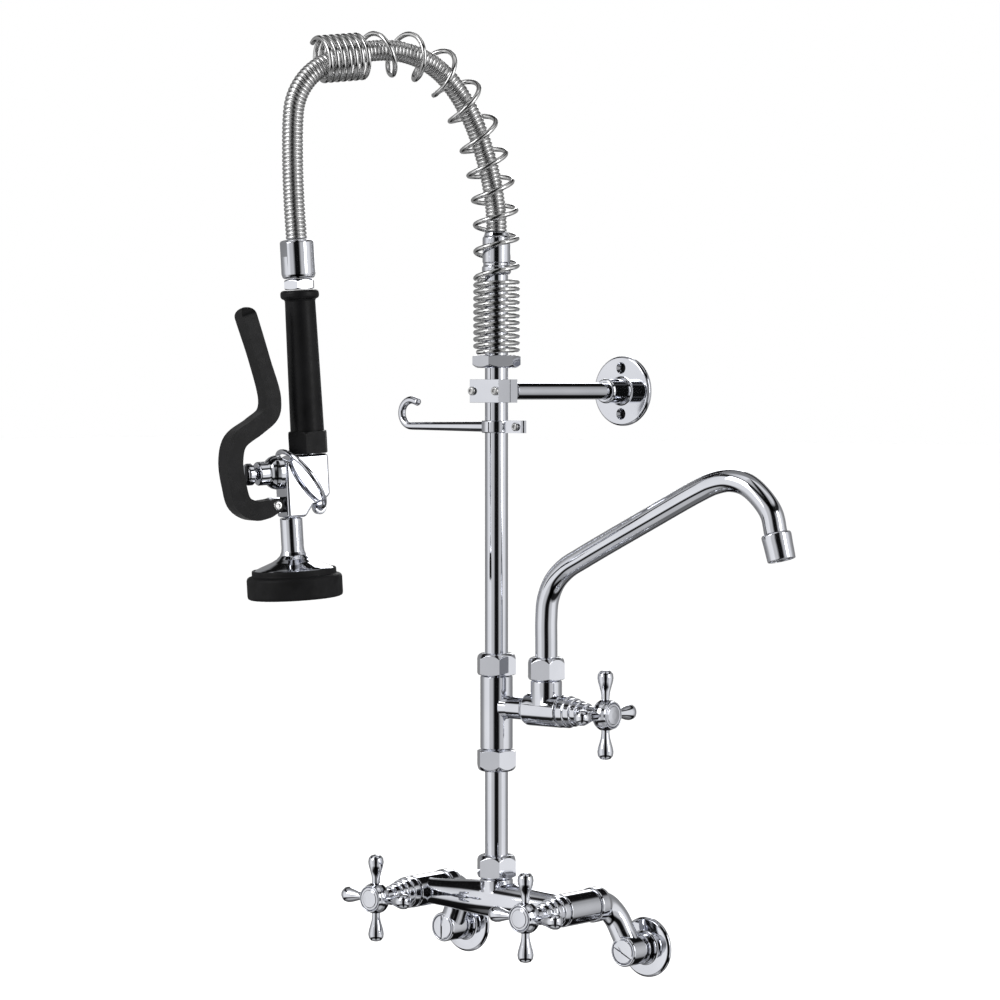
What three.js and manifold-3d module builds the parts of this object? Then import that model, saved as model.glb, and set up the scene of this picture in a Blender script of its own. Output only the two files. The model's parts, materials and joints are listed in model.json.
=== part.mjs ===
// A wall-mounted pre-rinse tap: a two-valve mixer on adjustable inlet arms, a riser with a swing
// spout and its own valve, a wall bracket, a hook, and a spray gun on a spring-held hose.
//
// Millimetres, +Z up. The origin is midway between the two water inlets, on the wall plane (y = 0).
// The user stands at -Y. The riser stands in front of the wall, and the hose arches to the front left.

import * as THREE from "three";
import { mergeVertices } from "three/addons/utils/BufferGeometryUtils.js";
import Module from "manifold-3d";

const wasm = await Module();
wasm.setup();

// ---------- driving dimensions ----------

const GAP = 0.3; // clearance between pieces that touch
const ROUND = 16; // facets round a turned piece
const FINE = 10; // facets round a small piece

const RISER_Y = -76; // riser axis, in front of the wall
const RISER_R = 9.25;
const RISER_BORE = 7.4;

const VALVE_HALF_SPACING = 78;
const VALVE_Z = 38; // valve axes above the inlet axes
const VALVE_R = 13;
const VALVE_FRONT_Y = RISER_Y - 16;
const VALVE_BACK_Y = RISER_Y + 22;

const INLET_HALF_SPACING = 95;
const ARM_BOSS_R = 12.2;
const STOP_FACE_Y = -33.3;
const WALL_FLANGE_R = 24.2;
const INLET_BORE = 9.3;

const BASE_NUT_Z = 56;
const BASE_NUT_HEIGHT = 18;
const LOWER_TEE_NUT_Z = 141.5;
const TEE_NUT_HEIGHT = 17;
const UPPER_TEE_NUT_Z = 218.6;
const NUT_FLATS = 29;
const NUT_TURN = THREE.MathUtils.degToRad(-12); // how far the riser's nuts are turned from square to the wall
const SEAT_NUT_TURN = THREE.MathUtils.degToRad(21);
const TEE_R = 13;
const THREAD_R = 12;
const TEE_BORE = 8;

const SPOUT_VALVE_Z = 193.3;
const SPOUT_VALVE_BACK_X = 32;
const SPOUT_VALVE_FRONT_X = 69;
const SPOUT_X = 51.5;
const SPOUT_NUT_Z = 217.6;
const SPOUT_NUT_HEIGHT = 18;
const SPOUT_NUT_FLATS = 27;
const SPOUT_R = 8.8;

const HANDLE_SPAN_R = 35;
const SPOKE_PLANE = 42; // in front of the valve body's face
const HUB_BACK = 33.6;
const HUB_FRONT = 50;

const HOOK_Z = 417.5;
const HOOK_CURL_X = -90.5;
const HOOK_CURL_R = 10.6;
const HOOK_WIRE_R = 3.1;
const HOOK_BAND_HEIGHT = 10;

const BRACKET_Z = 446;
const BRACKET_TUBE_R = 7;
const BRACKET_FLANGE_Y = RISER_Y + 162; // front face of the wall flange
const BRACKET_FLANGE_R = 29.2;
const BRACKET_SCREW_CIRCLE_R = 19.2;
const CLAMP_HEIGHT = 18.6;
const CLAMP_HALF_WIDTH = 15;
const CLAMP_SCREW_X = 12;

const SEAT_NUT_Z = 464.4;
const SEAT_NUT_HEIGHT = 10.2;
const COUPLING_Z = 539;
const COUPLING_TOP_Z = 572.5;

const ARCH_TURN = THREE.MathUtils.degToRad(-111.5); // direction of the arch seen from above
const HOSE_R = 8.25;
const SPRING_WIRE_R = 2;
const SPRING_COIL_R = 16.7;
const CLOSED_PITCH = 5.4;

const GUN_OUT = 175.8; // the hose's end, out from the riser and up
const GUN_Z = 563;
const GUN_TILT = THREE.MathUtils.degToRad(3.4);
const GUN_OUTLET_OUT = 18; // the spray axis, in front of the grip axis
const STEM_Z = -178.5;
const LEVER_PIVOT = [32.3, -203.6];
const RING_PIVOT = [-6.4, -208.3];
const RING_R = 26.8;
const RING_LEAN = THREE.MathUtils.degToRad(58);
const RING_WIRE_R = 2;

// ---------- materials ----------

function finish(color, roughness, metalness) {
  return new THREE.MeshStandardMaterial({ color, roughness, metalness });
}

const CHROME = finish(0xdfe1e4, 0.08, 1);
const STEEL = finish(0xb9bbbd, 0.25, 1);
const BRASS = finish(0xb08d4a, 0.35, 1);
const RUBBER = finish(0x1b1b1d, 0.6, 0);
const PLASTIC = finish(0x202024, 0.45, 0);

// ---------- solids ----------

function solidOf(geometry) {
  const flat = geometry.index ? geometry.toNonIndexed() : geometry;
  const bare = new THREE.BufferGeometry();
  bare.setAttribute("position", flat.getAttribute("position"));
  const merged = mergeVertices(bare, 1e-4);
  const mesh = new wasm.Mesh({
    numProp: 3,
    vertProperties: new Float32Array(merged.attributes.position.array),
    triVerts: new Uint32Array(merged.index.array),
  });
  return new wasm.Manifold(mesh);
}

function geometryOf(solid) {
  const mesh = solid.getMesh();
  const points = new Float32Array(mesh.numVert * 3);
  for (let i = 0; i < mesh.numVert; i++) {
    const start = i * mesh.numProp;
    points.set(mesh.vertProperties.subarray(start, start + 3), i * 3);
  }
  const geometry = new THREE.BufferGeometry();
  geometry.setAttribute("position", new THREE.BufferAttribute(points, 3));
  geometry.setIndex(new THREE.BufferAttribute(mesh.triVerts, 1));
  return geometry;
}

function join(...geometries) {
  return geometryOf(geometries.map(solidOf).reduce((whole, next) => whole.add(next)));
}

function cut(geometry, ...tools) {
  return geometryOf(tools.map(solidOf).reduce((left, tool) => left.subtract(tool), solidOf(geometry)));
}

function common(first, second) {
  return geometryOf(solidOf(first).intersect(solidOf(second)));
}

// A piece turned about +Z from [radius, height] points that run from its lowest point to its top.
function turned(profile, facets = ROUND) {
  const outline = profile.map(([radius, height]) => new THREE.Vector2(radius, height));
  return new THREE.LatheGeometry(outline, facets).rotateX(Math.PI / 2);
}

function rod(radius, low, high, facets = ROUND) {
  return turned([[0, low], [radius, low], [radius, high], [0, high]], facets);
}

// A closed ring of rectangular section.
function sleeve(inner, outer, low, high, facets = ROUND) {
  const outline = [[inner, low], [outer, low], [outer, high], [inner, high], [inner, low]];
  return turned(outline, facets);
}

function box(width, depth, height) {
  return new THREE.BoxGeometry(width, depth, height);
}

function circle(radius, sides) {
  const shape = new THREE.Shape();
  for (let i = 0; i < sides; i++) {
    const angle = (i / sides) * 2 * Math.PI;
    const point = [radius * Math.cos(angle), radius * Math.sin(angle)];
    if (i === 0) shape.moveTo(...point);
    else shape.lineTo(...point);
  }
  return shape;
}

function tubeAlong(curve, radius, steps, sides) {
  const options = { steps, bevelEnabled: false, extrudePath: curve };
  return new THREE.ExtrudeGeometry(circle(radius, sides), options);
}

function throughPoints(points) {
  return new THREE.CatmullRomCurve3(points.map((p) => new THREE.Vector3(...p)), false, "centripetal");
}

// A plate whose outline is drawn in the X-Z plane, `thickness` deep about y = 0.
function plate(shape, thickness) {
  const options = { depth: thickness, bevelEnabled: false, curveSegments: 5 };
  const geometry = new THREE.ExtrudeGeometry(shape, options);
  return geometry.translate(0, 0, -thickness / 2).rotateX(Math.PI / 2);
}

// Turns a piece made about +Z so that its +Z points along -Y, towards the user.
function faceFront(geometry) {
  return geometry.rotateX(Math.PI / 2);
}

// Turns a piece made about +Z so that its +Z points along +X.
function faceRight(geometry) {
  return geometry.rotateY(Math.PI / 2);
}

function at(object, x, y, z) {
  object.position.set(x, y, z);
  return object;
}

function group(...children) {
  const made = new THREE.Group();
  if (children.length) made.add(...children);
  return made;
}

function piece(name, geometry, material) {
  const mesh = new THREE.Mesh(geometry, material);
  mesh.name = name;
  return mesh;
}

// ---------- nuts ----------

// A hexagon nut from z = 0 up. The thread side is at the bottom, and the top edge is chamfered.
function nutShape(flats, height, threadRadius, threadDepth, boreRadius) {
  const corner = flats / Math.sqrt(3);
  const hexagon = rod(corner, 0, height, 6);
  const dome = turned([
    [0, -1],
    [corner + 1, -1],
    [corner + 1, height * 0.68],
    [flats / 2 - 2, height + 0.01],
    [0, height + 0.01],
  ]);
  return cut(
    common(hexagon, dome),
    rod(threadRadius + GAP, -1, threadDepth),
    rod(boreRadius + GAP, -1, height + 1),
  );
}

// ---------- cross-handle valves ----------

// The stepped cover of a valve, with its back on z = 0.
function bonnetShape() {
  return turned([
    [7.9, 0.3],
    [12.6, 0.3],
    [12.8, 1.5],
    [12.6, 7],
    [11.2, 7.6],
    [11.2, 12.7],
    [9.6, 13.3],
    [9.6, 18],
    [8, 18.6],
    [8, 24.5],
    [5.9, 25.3],
    [5.9, 33],
    [4.7, 33],
    [4.7, 12],
    [7.9, 12],
    [7.9, 0.3],
  ]);
}

// The ceramic disc cartridge: its body sits in the valve, and its nose in the bonnet.
function cartridgeShape() {
  return turned([
    [0, -18],
    [9.4, -18],
    [9.4, -0.3],
    [7.4, -0.3],
    [7.4, 8],
    [0, 8],
  ]);
}

function spindleShape() {
  return rod(4.3, 8.4, HUB_BACK + 9.6, FINE);
}

// One teardrop spoke along +X from the hub.
function spokeShape() {
  const spoke = turned(
    [
      [0, 6],
      [3.7, 6],
      [3.2, 14],
      [4.6, 21.5],
      [6.3, 29],
      [5.4, 33],
      [0, HANDLE_SPAN_R],
    ],
    8,
  );
  return faceRight(spoke);
}

function handleShape() {
  const hub = turned([
    [0, HUB_BACK],
    [7.5, HUB_BACK],
    [11.3, HUB_BACK + 3.5],
    [12.5, SPOKE_PLANE],
    [11.9, 46.5],
    [10.6, HUB_FRONT],
    [9.7, HUB_FRONT],
    [9.7, HUB_FRONT - 1.6],
    [0, HUB_FRONT - 1.6],
  ]);
  const spokes = [0, 1, 2, 3].map((quarter) => {
    return spokeShape().rotateZ((quarter * Math.PI) / 2).translate(0, 0, SPOKE_PLANE);
  });
  return cut(join(hub, ...spokes), rod(4.3 + GAP, HUB_BACK - 1, HUB_BACK + 10, FINE));
}

function indexCapShape() {
  return turned([
    [0, HUB_FRONT - 1.3],
    [9.3, HUB_FRONT - 1.3],
    [9.3, HUB_FRONT],
    [6, HUB_FRONT + 0.7],
    [0, HUB_FRONT + 0.9],
  ]);
}

// Everything in front of one valve body, made about +Z with the body's face on z = 0.
function valveTrim(name) {
  return group(
    piece(`${name}_bonnet`, bonnetShape(), CHROME),
    piece(`${name}_cartridge`, cartridgeShape(), BRASS),
    piece(`${name}_spindle`, spindleShape(), BRASS),
    piece(`${name}_handle`, handleShape(), CHROME),
    piece(`${name}_index_cap`, indexCapShape(), CHROME),
  );
}

// The pocket that a valve body has for its cartridge, about +Z with the body's face on z = 0.
function cartridgePocket() {
  return rod(9.4 + GAP, -18.4, 1);
}

// ---------- mixer body and inlet arms ----------

function mixerBody() {
  const half = VALVE_HALF_SPACING;
  const bridge = faceRight(
    turned([
      [0, -half],
      [10.4, -half],
      [11.2, -54],
      [13.2, -30],
      [14.4, -12],
      [14.4, 12],
      [13.2, 30],
      [11.2, 54],
      [10.4, half],
      [0, half],
    ]),
  ).translate(0, RISER_Y, VALVE_Z);
  const boss = rod(THREAD_R, VALVE_Z, BASE_NUT_Z + 8).translate(0, RISER_Y, 0);
  const length = VALVE_BACK_Y - VALVE_FRONT_Y;
  const parts = [bridge, boss];
  const holes = [rod(RISER_BORE, VALVE_Z, BASE_NUT_Z + 9).translate(0, RISER_Y, 0)];
  for (const side of [-1, 1]) {
    const barrel = faceFront(rod(VALVE_R, -length, 0));
    const spigot = faceFront(rod(9, -length - 8, -length + 1));
    const pocket = faceFront(cartridgePocket());
    const inlet = faceFront(rod(6, -length - 9, -18));
    const place = [side * half, VALVE_FRONT_Y, VALVE_Z];
    parts.push(barrel.translate(...place), spigot.translate(...place));
    holes.push(pocket.translate(...place), inlet.translate(...place));
  }
  const passage = faceRight(rod(5, -half, half, FINE)).translate(0, RISER_Y, VALVE_Z);
  return piece("mixer_body", cut(join(...parts), passage, ...holes), CHROME);
}

// One inlet arm. `side` is -1 for the left one and 1 for the right one.
function inletArm(side) {
  const top = [side * VALVE_HALF_SPACING, 0, VALVE_Z];
  const foot = [side * INLET_HALF_SPACING, 0, 0];
  const collar = faceFront(rod(14, -14, 0)).translate(top[0], VALVE_BACK_Y + GAP, VALVE_Z);
  const elbow = tubeAlong(
    throughPoints([
      [top[0], VALVE_BACK_Y + 9, top[2]],
      [top[0] + side * 0.6, VALVE_BACK_Y + 20, top[2] - 2.5],
      [top[0] + side * 4.5, VALVE_BACK_Y + 28, top[2] - 12],
      [top[0] + side * 10.5, VALVE_BACK_Y + 30.5, top[2] - 25],
      [foot[0], VALVE_BACK_Y + 31, foot[2] + 1],
    ]),
    10.2,
    10,
    14,
  );
  const boss = faceFront(rod(ARM_BOSS_R, -20, 0)).translate(foot[0], STOP_FACE_Y, 0);
  const nipple = faceFront(rod(8.2, -25, -19)).translate(foot[0], STOP_FACE_Y, 0);
  const socket = faceFront(rod(9 + GAP, -9, 1)).translate(top[0], VALVE_BACK_Y + GAP, VALVE_Z);
  const stopPocket = faceFront(rod(10 + GAP, -4.3, 1)).translate(foot[0], STOP_FACE_Y, 0);
  const way = faceFront(rod(5, -26, -3, FINE)).translate(foot[0], STOP_FACE_Y, 0);
  return cut(join(collar, elbow, boss, nipple), socket, stopPocket, way);
}

function stopScrew() {
  const head = turned([[0, -4], [10, -4], [10, -0.6], [9.4, 0], [0, 0.4]]);
  const slot = box(22, 1.8, 3).translate(0, 0, 0.3);
  return faceFront(cut(head, slot));
}

function wallFlange() {
  const outline = [
    [0, 0],
    [WALL_FLANGE_R, 0],
    [WALL_FLANGE_R, 3],
    [WALL_FLANGE_R - 1.5, 4.2],
    [13.4, 5],
    [12.6, 6],
    [12.4, 12.9],
    [0, 12.9],
  ];
  const body = turned(outline);
  return faceFront(cut(body, rod(INLET_BORE, -1, 8.2), rod(8.2 + GAP, 7, 14)));
}

function inletSide(side, name) {
  const foot = side * INLET_HALF_SPACING;
  const screw = piece(`${name}_stop_screw`, stopScrew(), CHROME);
  screw.rotation.y = side < 0 ? Math.PI / 2 : THREE.MathUtils.degToRad(26);
  return group(
    piece(`${name}_inlet_arm`, inletArm(side), CHROME),
    at(screw, foot, STOP_FACE_Y, 0),
    at(piece(`${name}_wall_flange`, wallFlange(), CHROME), foot, 0, 0),
  );
}

// ---------- riser, tee and spout valve ----------

function riserTube(low, high) {
  return sleeve(RISER_BORE, RISER_R, low, high);
}

function teeBody() {
  const barrelTop = UPPER_TEE_NUT_Z - GAP;
  const barrelFoot = LOWER_TEE_NUT_Z + TEE_NUT_HEIGHT + GAP;
  const barrel = turned([
    [0, barrelFoot - 8],
    [THREAD_R, barrelFoot - 8],
    [THREAD_R, barrelFoot],
    [TEE_R, barrelFoot],
    [TEE_R, barrelTop],
    [THREAD_R, barrelTop],
    [THREAD_R, barrelTop + 8],
    [0, barrelTop + 8],
  ]);
  const branch = faceRight(rod(9, 2, SPOUT_VALVE_BACK_X + 2));
  const body = faceRight(rod(VALVE_R, SPOUT_VALVE_BACK_X, SPOUT_VALVE_FRONT_X));
  const outlet = turned([
    [0, 0],
    [12.4, 0],
    [12.4, SPOUT_NUT_Z - SPOUT_VALVE_Z - GAP],
    [11, SPOUT_NUT_Z - SPOUT_VALVE_Z - GAP],
    [11, SPOUT_NUT_Z - SPOUT_VALVE_Z + 8],
    [0, SPOUT_NUT_Z - SPOUT_VALVE_Z + 8],
  ]).translate(SPOUT_X, 0, 0);
  const side = join(branch, body, outlet).translate(0, 0, SPOUT_VALVE_Z);
  const barrelBore = rod(TEE_BORE, barrelFoot - 9, barrelTop + 9);
  const branchBore = faceRight(rod(4, 0, SPOUT_VALVE_FRONT_X - 17, FINE));
  const pocket = faceRight(cartridgePocket()).translate(SPOUT_VALVE_FRONT_X, 0, 0);
  const outletBore = rod(7, 4, 40).translate(SPOUT_X, 0, 0);
  const bores = [branchBore, pocket, outletBore].map((b) => b.translate(0, 0, SPOUT_VALVE_Z));
  return piece("tee_body", cut(join(barrel, side), barrelBore, ...bores), CHROME);
}

function riserColumn() {
  const nutUp = (flats, height) => nutShape(flats, height, THREAD_R, 9, RISER_R);
  const lowerNut = nutUp(NUT_FLATS, TEE_NUT_HEIGHT).rotateX(Math.PI).rotateZ(NUT_TURN);
  lowerNut.translate(0, 0, LOWER_TEE_NUT_Z + TEE_NUT_HEIGHT);
  const seatNut = nutShape(34, SEAT_NUT_HEIGHT, RISER_R, 2, RISER_R).rotateX(Math.PI);
  seatNut.rotateZ(SEAT_NUT_TURN).translate(0, 0, SEAT_NUT_Z + SEAT_NUT_HEIGHT);
  const lowerTubeFoot = BASE_NUT_Z + 8 + GAP;
  const lowerTubeTop = LOWER_TEE_NUT_Z + TEE_NUT_HEIGHT - 8 - GAP;
  const upperTubeFoot = UPPER_TEE_NUT_Z + 8;
  const baseNut = nutUp(NUT_FLATS, BASE_NUT_HEIGHT).rotateZ(NUT_TURN);
  baseNut.translate(0, 0, BASE_NUT_Z);
  const upperNut = nutUp(NUT_FLATS, TEE_NUT_HEIGHT + 0.6).rotateZ(NUT_TURN);
  upperNut.translate(0, 0, UPPER_TEE_NUT_Z);
  const trim = group(valveTrim("spout_valve"));
  trim.rotation.y = Math.PI / 2;
  return group(
    piece("riser_base_nut", baseNut, CHROME),
    piece("lower_riser_tube", riserTube(lowerTubeFoot, lowerTubeTop), CHROME),
    piece("lower_tee_nut", lowerNut, CHROME),
    teeBody(),
    piece("upper_tee_nut", upperNut, CHROME),
    piece("upper_riser_tube", riserTube(upperTubeFoot, COUPLING_Z - GAP), CHROME),
    piece("spring_seat_nut", seatNut, CHROME),
    at(trim, SPOUT_VALVE_FRONT_X, 0, SPOUT_VALVE_Z),
  );
}

// ---------- swing spout ----------

// The spout's centre line, from its foot in the nut to the aerator, in the X-Z plane.
const SPOUT_ROUTE = [
  [0, 226.5],
  [0, 245],
  [0, 266],
  [1.6, 281],
  [8, 295],
  [19.5, 306],
  [38, 316],
  [100, 346.5],
  [150, 370.5],
  [164, 376],
  [179, 378.5],
  [194, 375.5],
  [207, 366.5],
  [217.2, 354],
  [221, 340],
];

function spout() {
  const route = throughPoints(SPOUT_ROUTE.map(([x, z]) => [x, 0, z]));
  const tube = tubeAlong(route, SPOUT_R, 34, 14);
  const collar = sleeve(SPOUT_R - 1, 10.3, 228.2, 231);
  const bore = rod(6, 220, 240, FINE);
  const exit = route.getTangent(1);
  const housing = turned([
    [0, -21],
    [10.7, -21],
    [11.4, -4],
    [11.2, -1],
    [9.6, 0],
    [0, 0],
  ]);
  const open = cut(housing, rod(9, -22, -5), rod(7, -6, 1));
  const insert = turned([[0, -19.5], [8.7, -19.5], [8.7, -6], [0, -6]]);
  const aerator = group(
    piece("aerator_housing", open, CHROME),
    piece("aerator_insert", insert, STEEL),
  );
  aerator.rotation.y = -Math.asin(exit.x);
  aerator.position.copy(route.getPoint(1)).addScaledVector(exit, GAP);
  return group(
    piece("spout_tube", cut(join(tube, collar), bore), CHROME),
    piece("spout_seal_ring", sleeve(9.2, 10.9, 231.4, 232.6), RUBBER),
    aerator,
  );
}

function spoutNut() {
  const shape = nutShape(SPOUT_NUT_FLATS, SPOUT_NUT_HEIGHT, 11, 15.3, SPOUT_R);
  return piece("spout_nut", shape.rotateZ(NUT_TURN).translate(0, 0, SPOUT_NUT_Z), CHROME);
}

// ---------- hook ----------

function hookFinger() {
  const curlPoints = [];
  for (let angle = -90; angle >= -290; angle -= 25) {
    const turn = THREE.MathUtils.degToRad(angle);
    const x = HOOK_CURL_X + HOOK_CURL_R * Math.cos(turn);
    curlPoints.push([x, 0, HOOK_Z + HOOK_CURL_R + HOOK_CURL_R * Math.sin(turn)]);
  }
  curlPoints.push([HOOK_CURL_X + 8.6, 0, HOOK_Z + 2 * HOOK_CURL_R - 2.4]);
  const curl = tubeAlong(throughPoints(curlPoints), HOOK_WIRE_R, 14, 10);
  const armLength = -HOOK_CURL_X - 8;
  const arm = turned([[0, 0], [4.3, 0], [HOOK_WIRE_R, armLength + 0.6], [0, armLength + 0.6]], 10);
  arm.rotateY(-Math.PI / 2).translate(-8, 0, HOOK_Z);
  const low = HOOK_Z - HOOK_BAND_HEIGHT / 2;
  const band = rod(12, low, low + HOOK_BAND_HEIGHT);
  const ears = box(18, 7, HOOK_BAND_HEIGHT).translate(19, 0, HOOK_Z);
  const split = box(24, 1.6, HOOK_BAND_HEIGHT + 2).translate(20, 0, HOOK_Z);
  const hole = rod(2.2, -6, 6, FINE).rotateX(Math.PI / 2).translate(23, 0, HOOK_Z);
  const bore = rod(RISER_R + GAP, low - 1, low + HOOK_BAND_HEIGHT + 1);
  return cut(join(curl, arm, band, ears), split, hole, bore);
}

function hook() {
  const screw = turned([[0, -5.2], [1.9, -5.2], [1.9, 3.9], [3.4, 3.9], [3.1, 6], [0, 6]], FINE);
  faceFront(screw).translate(23, 0, HOOK_Z);
  return group(
    piece("hook_finger", hookFinger(), CHROME),
    piece("hook_clamp_screw", screw, STEEL),
  );
}

// ---------- wall bracket ----------

function bracket() {
  const bore = rod(RISER_R + GAP, -30, 30);
  const screwHole = (x) => {
    return rod(2.2, -20, 20, FINE).rotateX(Math.PI / 2).translate(x, 0, 0);
  };
  const holes = [screwHole(-CLAMP_SCREW_X), screwHole(CLAMP_SCREW_X)];
  const width = 2 * CLAMP_HALF_WIDTH;
  const cap = cut(box(width, 14.5, CLAMP_HEIGHT).translate(0, -8.25, 0), bore, ...holes);
  const rear = box(width, 8.5, CLAMP_HEIGHT).translate(0, 3.75, 0);
  const collar = turned([[0, 0], [CLAMP_HEIGHT / 2, 0], [CLAMP_HEIGHT / 2, 10], [7, 20], [0, 20]]);
  collar.rotateX(-Math.PI / 2);
  const front = box(40, 20, 30).translate(0, -10.5, 0);
  const clamp = cut(join(rear, collar), bore, front, ...holes);
  const screw = turned([[0, -12], [1.9, -12], [1.9, 0], [3.5, 0], [3.2, 2], [0, 2.4]], FINE);
  const flangeDepth = BRACKET_FLANGE_Y - RISER_Y;
  const tube = faceFront(sleeve(5.6, BRACKET_TUBE_R, 20 + GAP, flangeDepth - 12)).rotateZ(Math.PI);
  const flange = turned([
    [0, -4.6],
    [BRACKET_FLANGE_R, -4.6],
    [BRACKET_FLANGE_R, -1.2],
    [BRACKET_FLANGE_R - 1, 0],
    [11.3, 0],
    [10.4, 1.5],
    [10.4, 21.6],
    [9.4, 22.6],
    [0, 22.6],
  ]);
  const screwWays = [-1, 1].map((side) => {
    const way = turned([[0, -6], [2.75, -6], [2.75, -2.6], [4.9, 0.1], [4.9, 1], [0, 1]], FINE);
    return way.translate(0, side * BRACKET_SCREW_CIRCLE_R, 0);
  });
  const socket = rod(BRACKET_TUBE_R + GAP, 11.4, 24);
  const gasket = sleeve(8, 27.5, -6.4, -4.9);
  const gasketWays = [-1, 1].map((side) => {
    return rod(2.6, -8, 0, FINE).translate(0, side * BRACKET_SCREW_CIRCLE_R, 0);
  });
  const wallEnd = group(
    piece("bracket_flange", faceFront(cut(flange, socket, ...screwWays)), CHROME),
    piece("bracket_gasket", faceFront(cut(gasket, ...gasketWays)), RUBBER),
  );
  const capScrew = (name, x) => at(piece(name, faceFront(screw.clone()), STEEL), x, -15.8, 0);
  return group(
    piece("bracket_clamp_cap", cap, CHROME),
    piece("bracket_clamp_body", clamp, CHROME),
    capScrew("bracket_screw_left", -CLAMP_SCREW_X),
    capScrew("bracket_screw_right", CLAMP_SCREW_X),
    piece("bracket_tube", tube, CHROME),
    at(wallEnd, 0, flangeDepth, 0),
  );
}

// ---------- spring and hose ----------

// The hose's centre line as [out from the riser, height], from the coupling to the spray gun.
const HOSE_ROUTE = [
  [0, COUPLING_TOP_Z + GAP],
  [0, 580],
  [1.2, 594],
  [4.8, 614],
  [11.5, 637],
  [21, 660],
  [33.5, 680.5],
  [49, 697],
  [67.5, 707.5],
  [88, 712.3],
  [108, 711.8],
  [127, 708],
  [143, 702.8],
  [155, 697],
  [164.7, 689.5],
  [172.2, 679.8],
  [176.9, 668.5],
  [178.6, 655],
  [179, 635],
  [178.7, 612],
  [177.6, 588],
  [GUN_OUT, GUN_Z + GAP],
];

// The spring's centre line: up the riser, over the arch, and a straight closed end.
const SPRING_ROUTE = [
  [0, SEAT_NUT_Z + SEAT_NUT_HEIGHT + SPRING_WIRE_R + GAP],
  [0, 520],
  [0, 560],
  [1, 590],
  [4.5, 612],
  [11.5, 637],
  [21, 660],
  [33.5, 680.5],
  [49, 697],
  [67.5, 707],
  [88, 710.3],
  [106, 708.6],
  [122, 706.6],
  [156, 702.6],
];

const CLOSED_START_LENGTH = 59; // closed turns on the seat
const CLOSED_END_LENGTH = 36; // closed turns at the hose's exit
const OPEN_TURNS = 10;
const LOW_TURNS = 5; // of the open turns, the ones above the seat that the hose pulls apart least
const LOW_PITCH = 21.5;

// A coil wound about a centre line: closed turns at both ends and open turns between them.
class CoilCurve extends THREE.Curve {
  constructor(centre) {
    super();
    this.centre = centre;
    this.length = centre.getLength();
    this.arcLengthDivisions = 3000;
    this.startTurns = CLOSED_START_LENGTH / CLOSED_PITCH;
    this.endTurns = CLOSED_END_LENGTH / CLOSED_PITCH;
    this.turns = this.startTurns + OPEN_TURNS + this.endTurns;
  }

  // Finds the place along the centre line where the coil has made this many turns.
  alongAt(turns) {
    if (turns < this.startTurns) return turns * CLOSED_PITCH;
    const openEnd = this.length - CLOSED_END_LENGTH;
    const past = turns - this.startTurns - OPEN_TURNS;
    if (past > 0) return openEnd + past * CLOSED_PITCH;
    const made = turns - this.startTurns;
    if (made < LOW_TURNS) return CLOSED_START_LENGTH + made * LOW_PITCH;
    const lowEnd = CLOSED_START_LENGTH + LOW_TURNS * LOW_PITCH;
    return lowEnd + ((made - LOW_TURNS) / (OPEN_TURNS - LOW_TURNS)) * (openEnd - lowEnd);
  }

  getPoint(t, target = new THREE.Vector3()) {
    const turns = t * this.turns;
    const u = Math.min(1, this.alongAt(turns) / this.length);
    const angle = turns * 2 * Math.PI;
    const across = new THREE.Vector3(0, 1, 0);
    const ahead = this.centre.getTangentAt(u);
    const side = new THREE.Vector3().crossVectors(across, ahead).normalize();
    return target
      .copy(this.centre.getPointAt(u))
      .addScaledVector(side, SPRING_COIL_R * Math.cos(angle))
      .addScaledVector(across, SPRING_COIL_R * Math.sin(angle));
  }
}

function overhead() {
  const inPlane = (route) => throughPoints(route.map(([out, z]) => [out, 0, z]));
  const springCentre = inPlane(SPRING_ROUTE);
  springCentre.arcLengthDivisions = 800;
  const coil = new CoilCurve(springCentre);
  const spring = tubeAlong(coil, SPRING_WIRE_R, Math.round(coil.turns * 9), 6);
  const hose = tubeAlong(inPlane(HOSE_ROUTE), HOSE_R, 32, 10);
  const coupling = cut(
    turned([
      [0, 0],
      [10.4, 0],
      [11.6, 2],
      [11.6, 6],
      [10.8, 7],
      [10.8, COUPLING_TOP_Z - COUPLING_Z],
      [0, COUPLING_TOP_Z - COUPLING_Z],
    ]),
    rod(6, -1, 40, FINE),
  );
  return group(
    at(piece("hose_top_coupling", coupling, CHROME), 0, 0, COUPLING_Z),
    piece("spring", spring, STEEL),
    piece("hose", hose, STEEL),
  );
}

// ---------- spray gun ----------

// Everything here is in the gun's own frame: +X away from the riser, and z = 0 at the hose's end.

function hoseEnd() {
  const ferrule = cut(
    turned([[0, -30], [12.4, -30], [13.2, -28], [13.2, -1], [12.6, 0], [0, 0]]),
    rod(5.5, -31, 1, FINE),
    box(10, 30, 14).translate(16.6, 0, -6),
  );
  const nut = nutShape(22, 8.2, 6, 2, 6).rotateZ(Math.PI / 6).translate(0, 0, -38.5);
  return [
    piece("hose_end_ferrule", ferrule, CHROME),
    piece("hose_end_nut", nut, CHROME),
  ];
}

function grip() {
  const sleeveShape = turned([
    [6.9, -165.5],
    [12.6, -165.5],
    [12.6, -149],
    [13, -148],
    [12, -52],
    [11.8, -46.5],
    [14.2, -45.5],
    [15, -42.5],
    [14.2, -39.6],
    [6.9, -39],
    [6.9, -165.5],
  ]);
  const hexagon = rod(16.5, -165.5, -148.5, 6).rotateZ(Math.PI / 2);
  const collar = cut(hexagon, rod(8, -167, -148));
  return piece("grip", join(sleeveShape, collar), PLASTIC);
}

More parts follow.
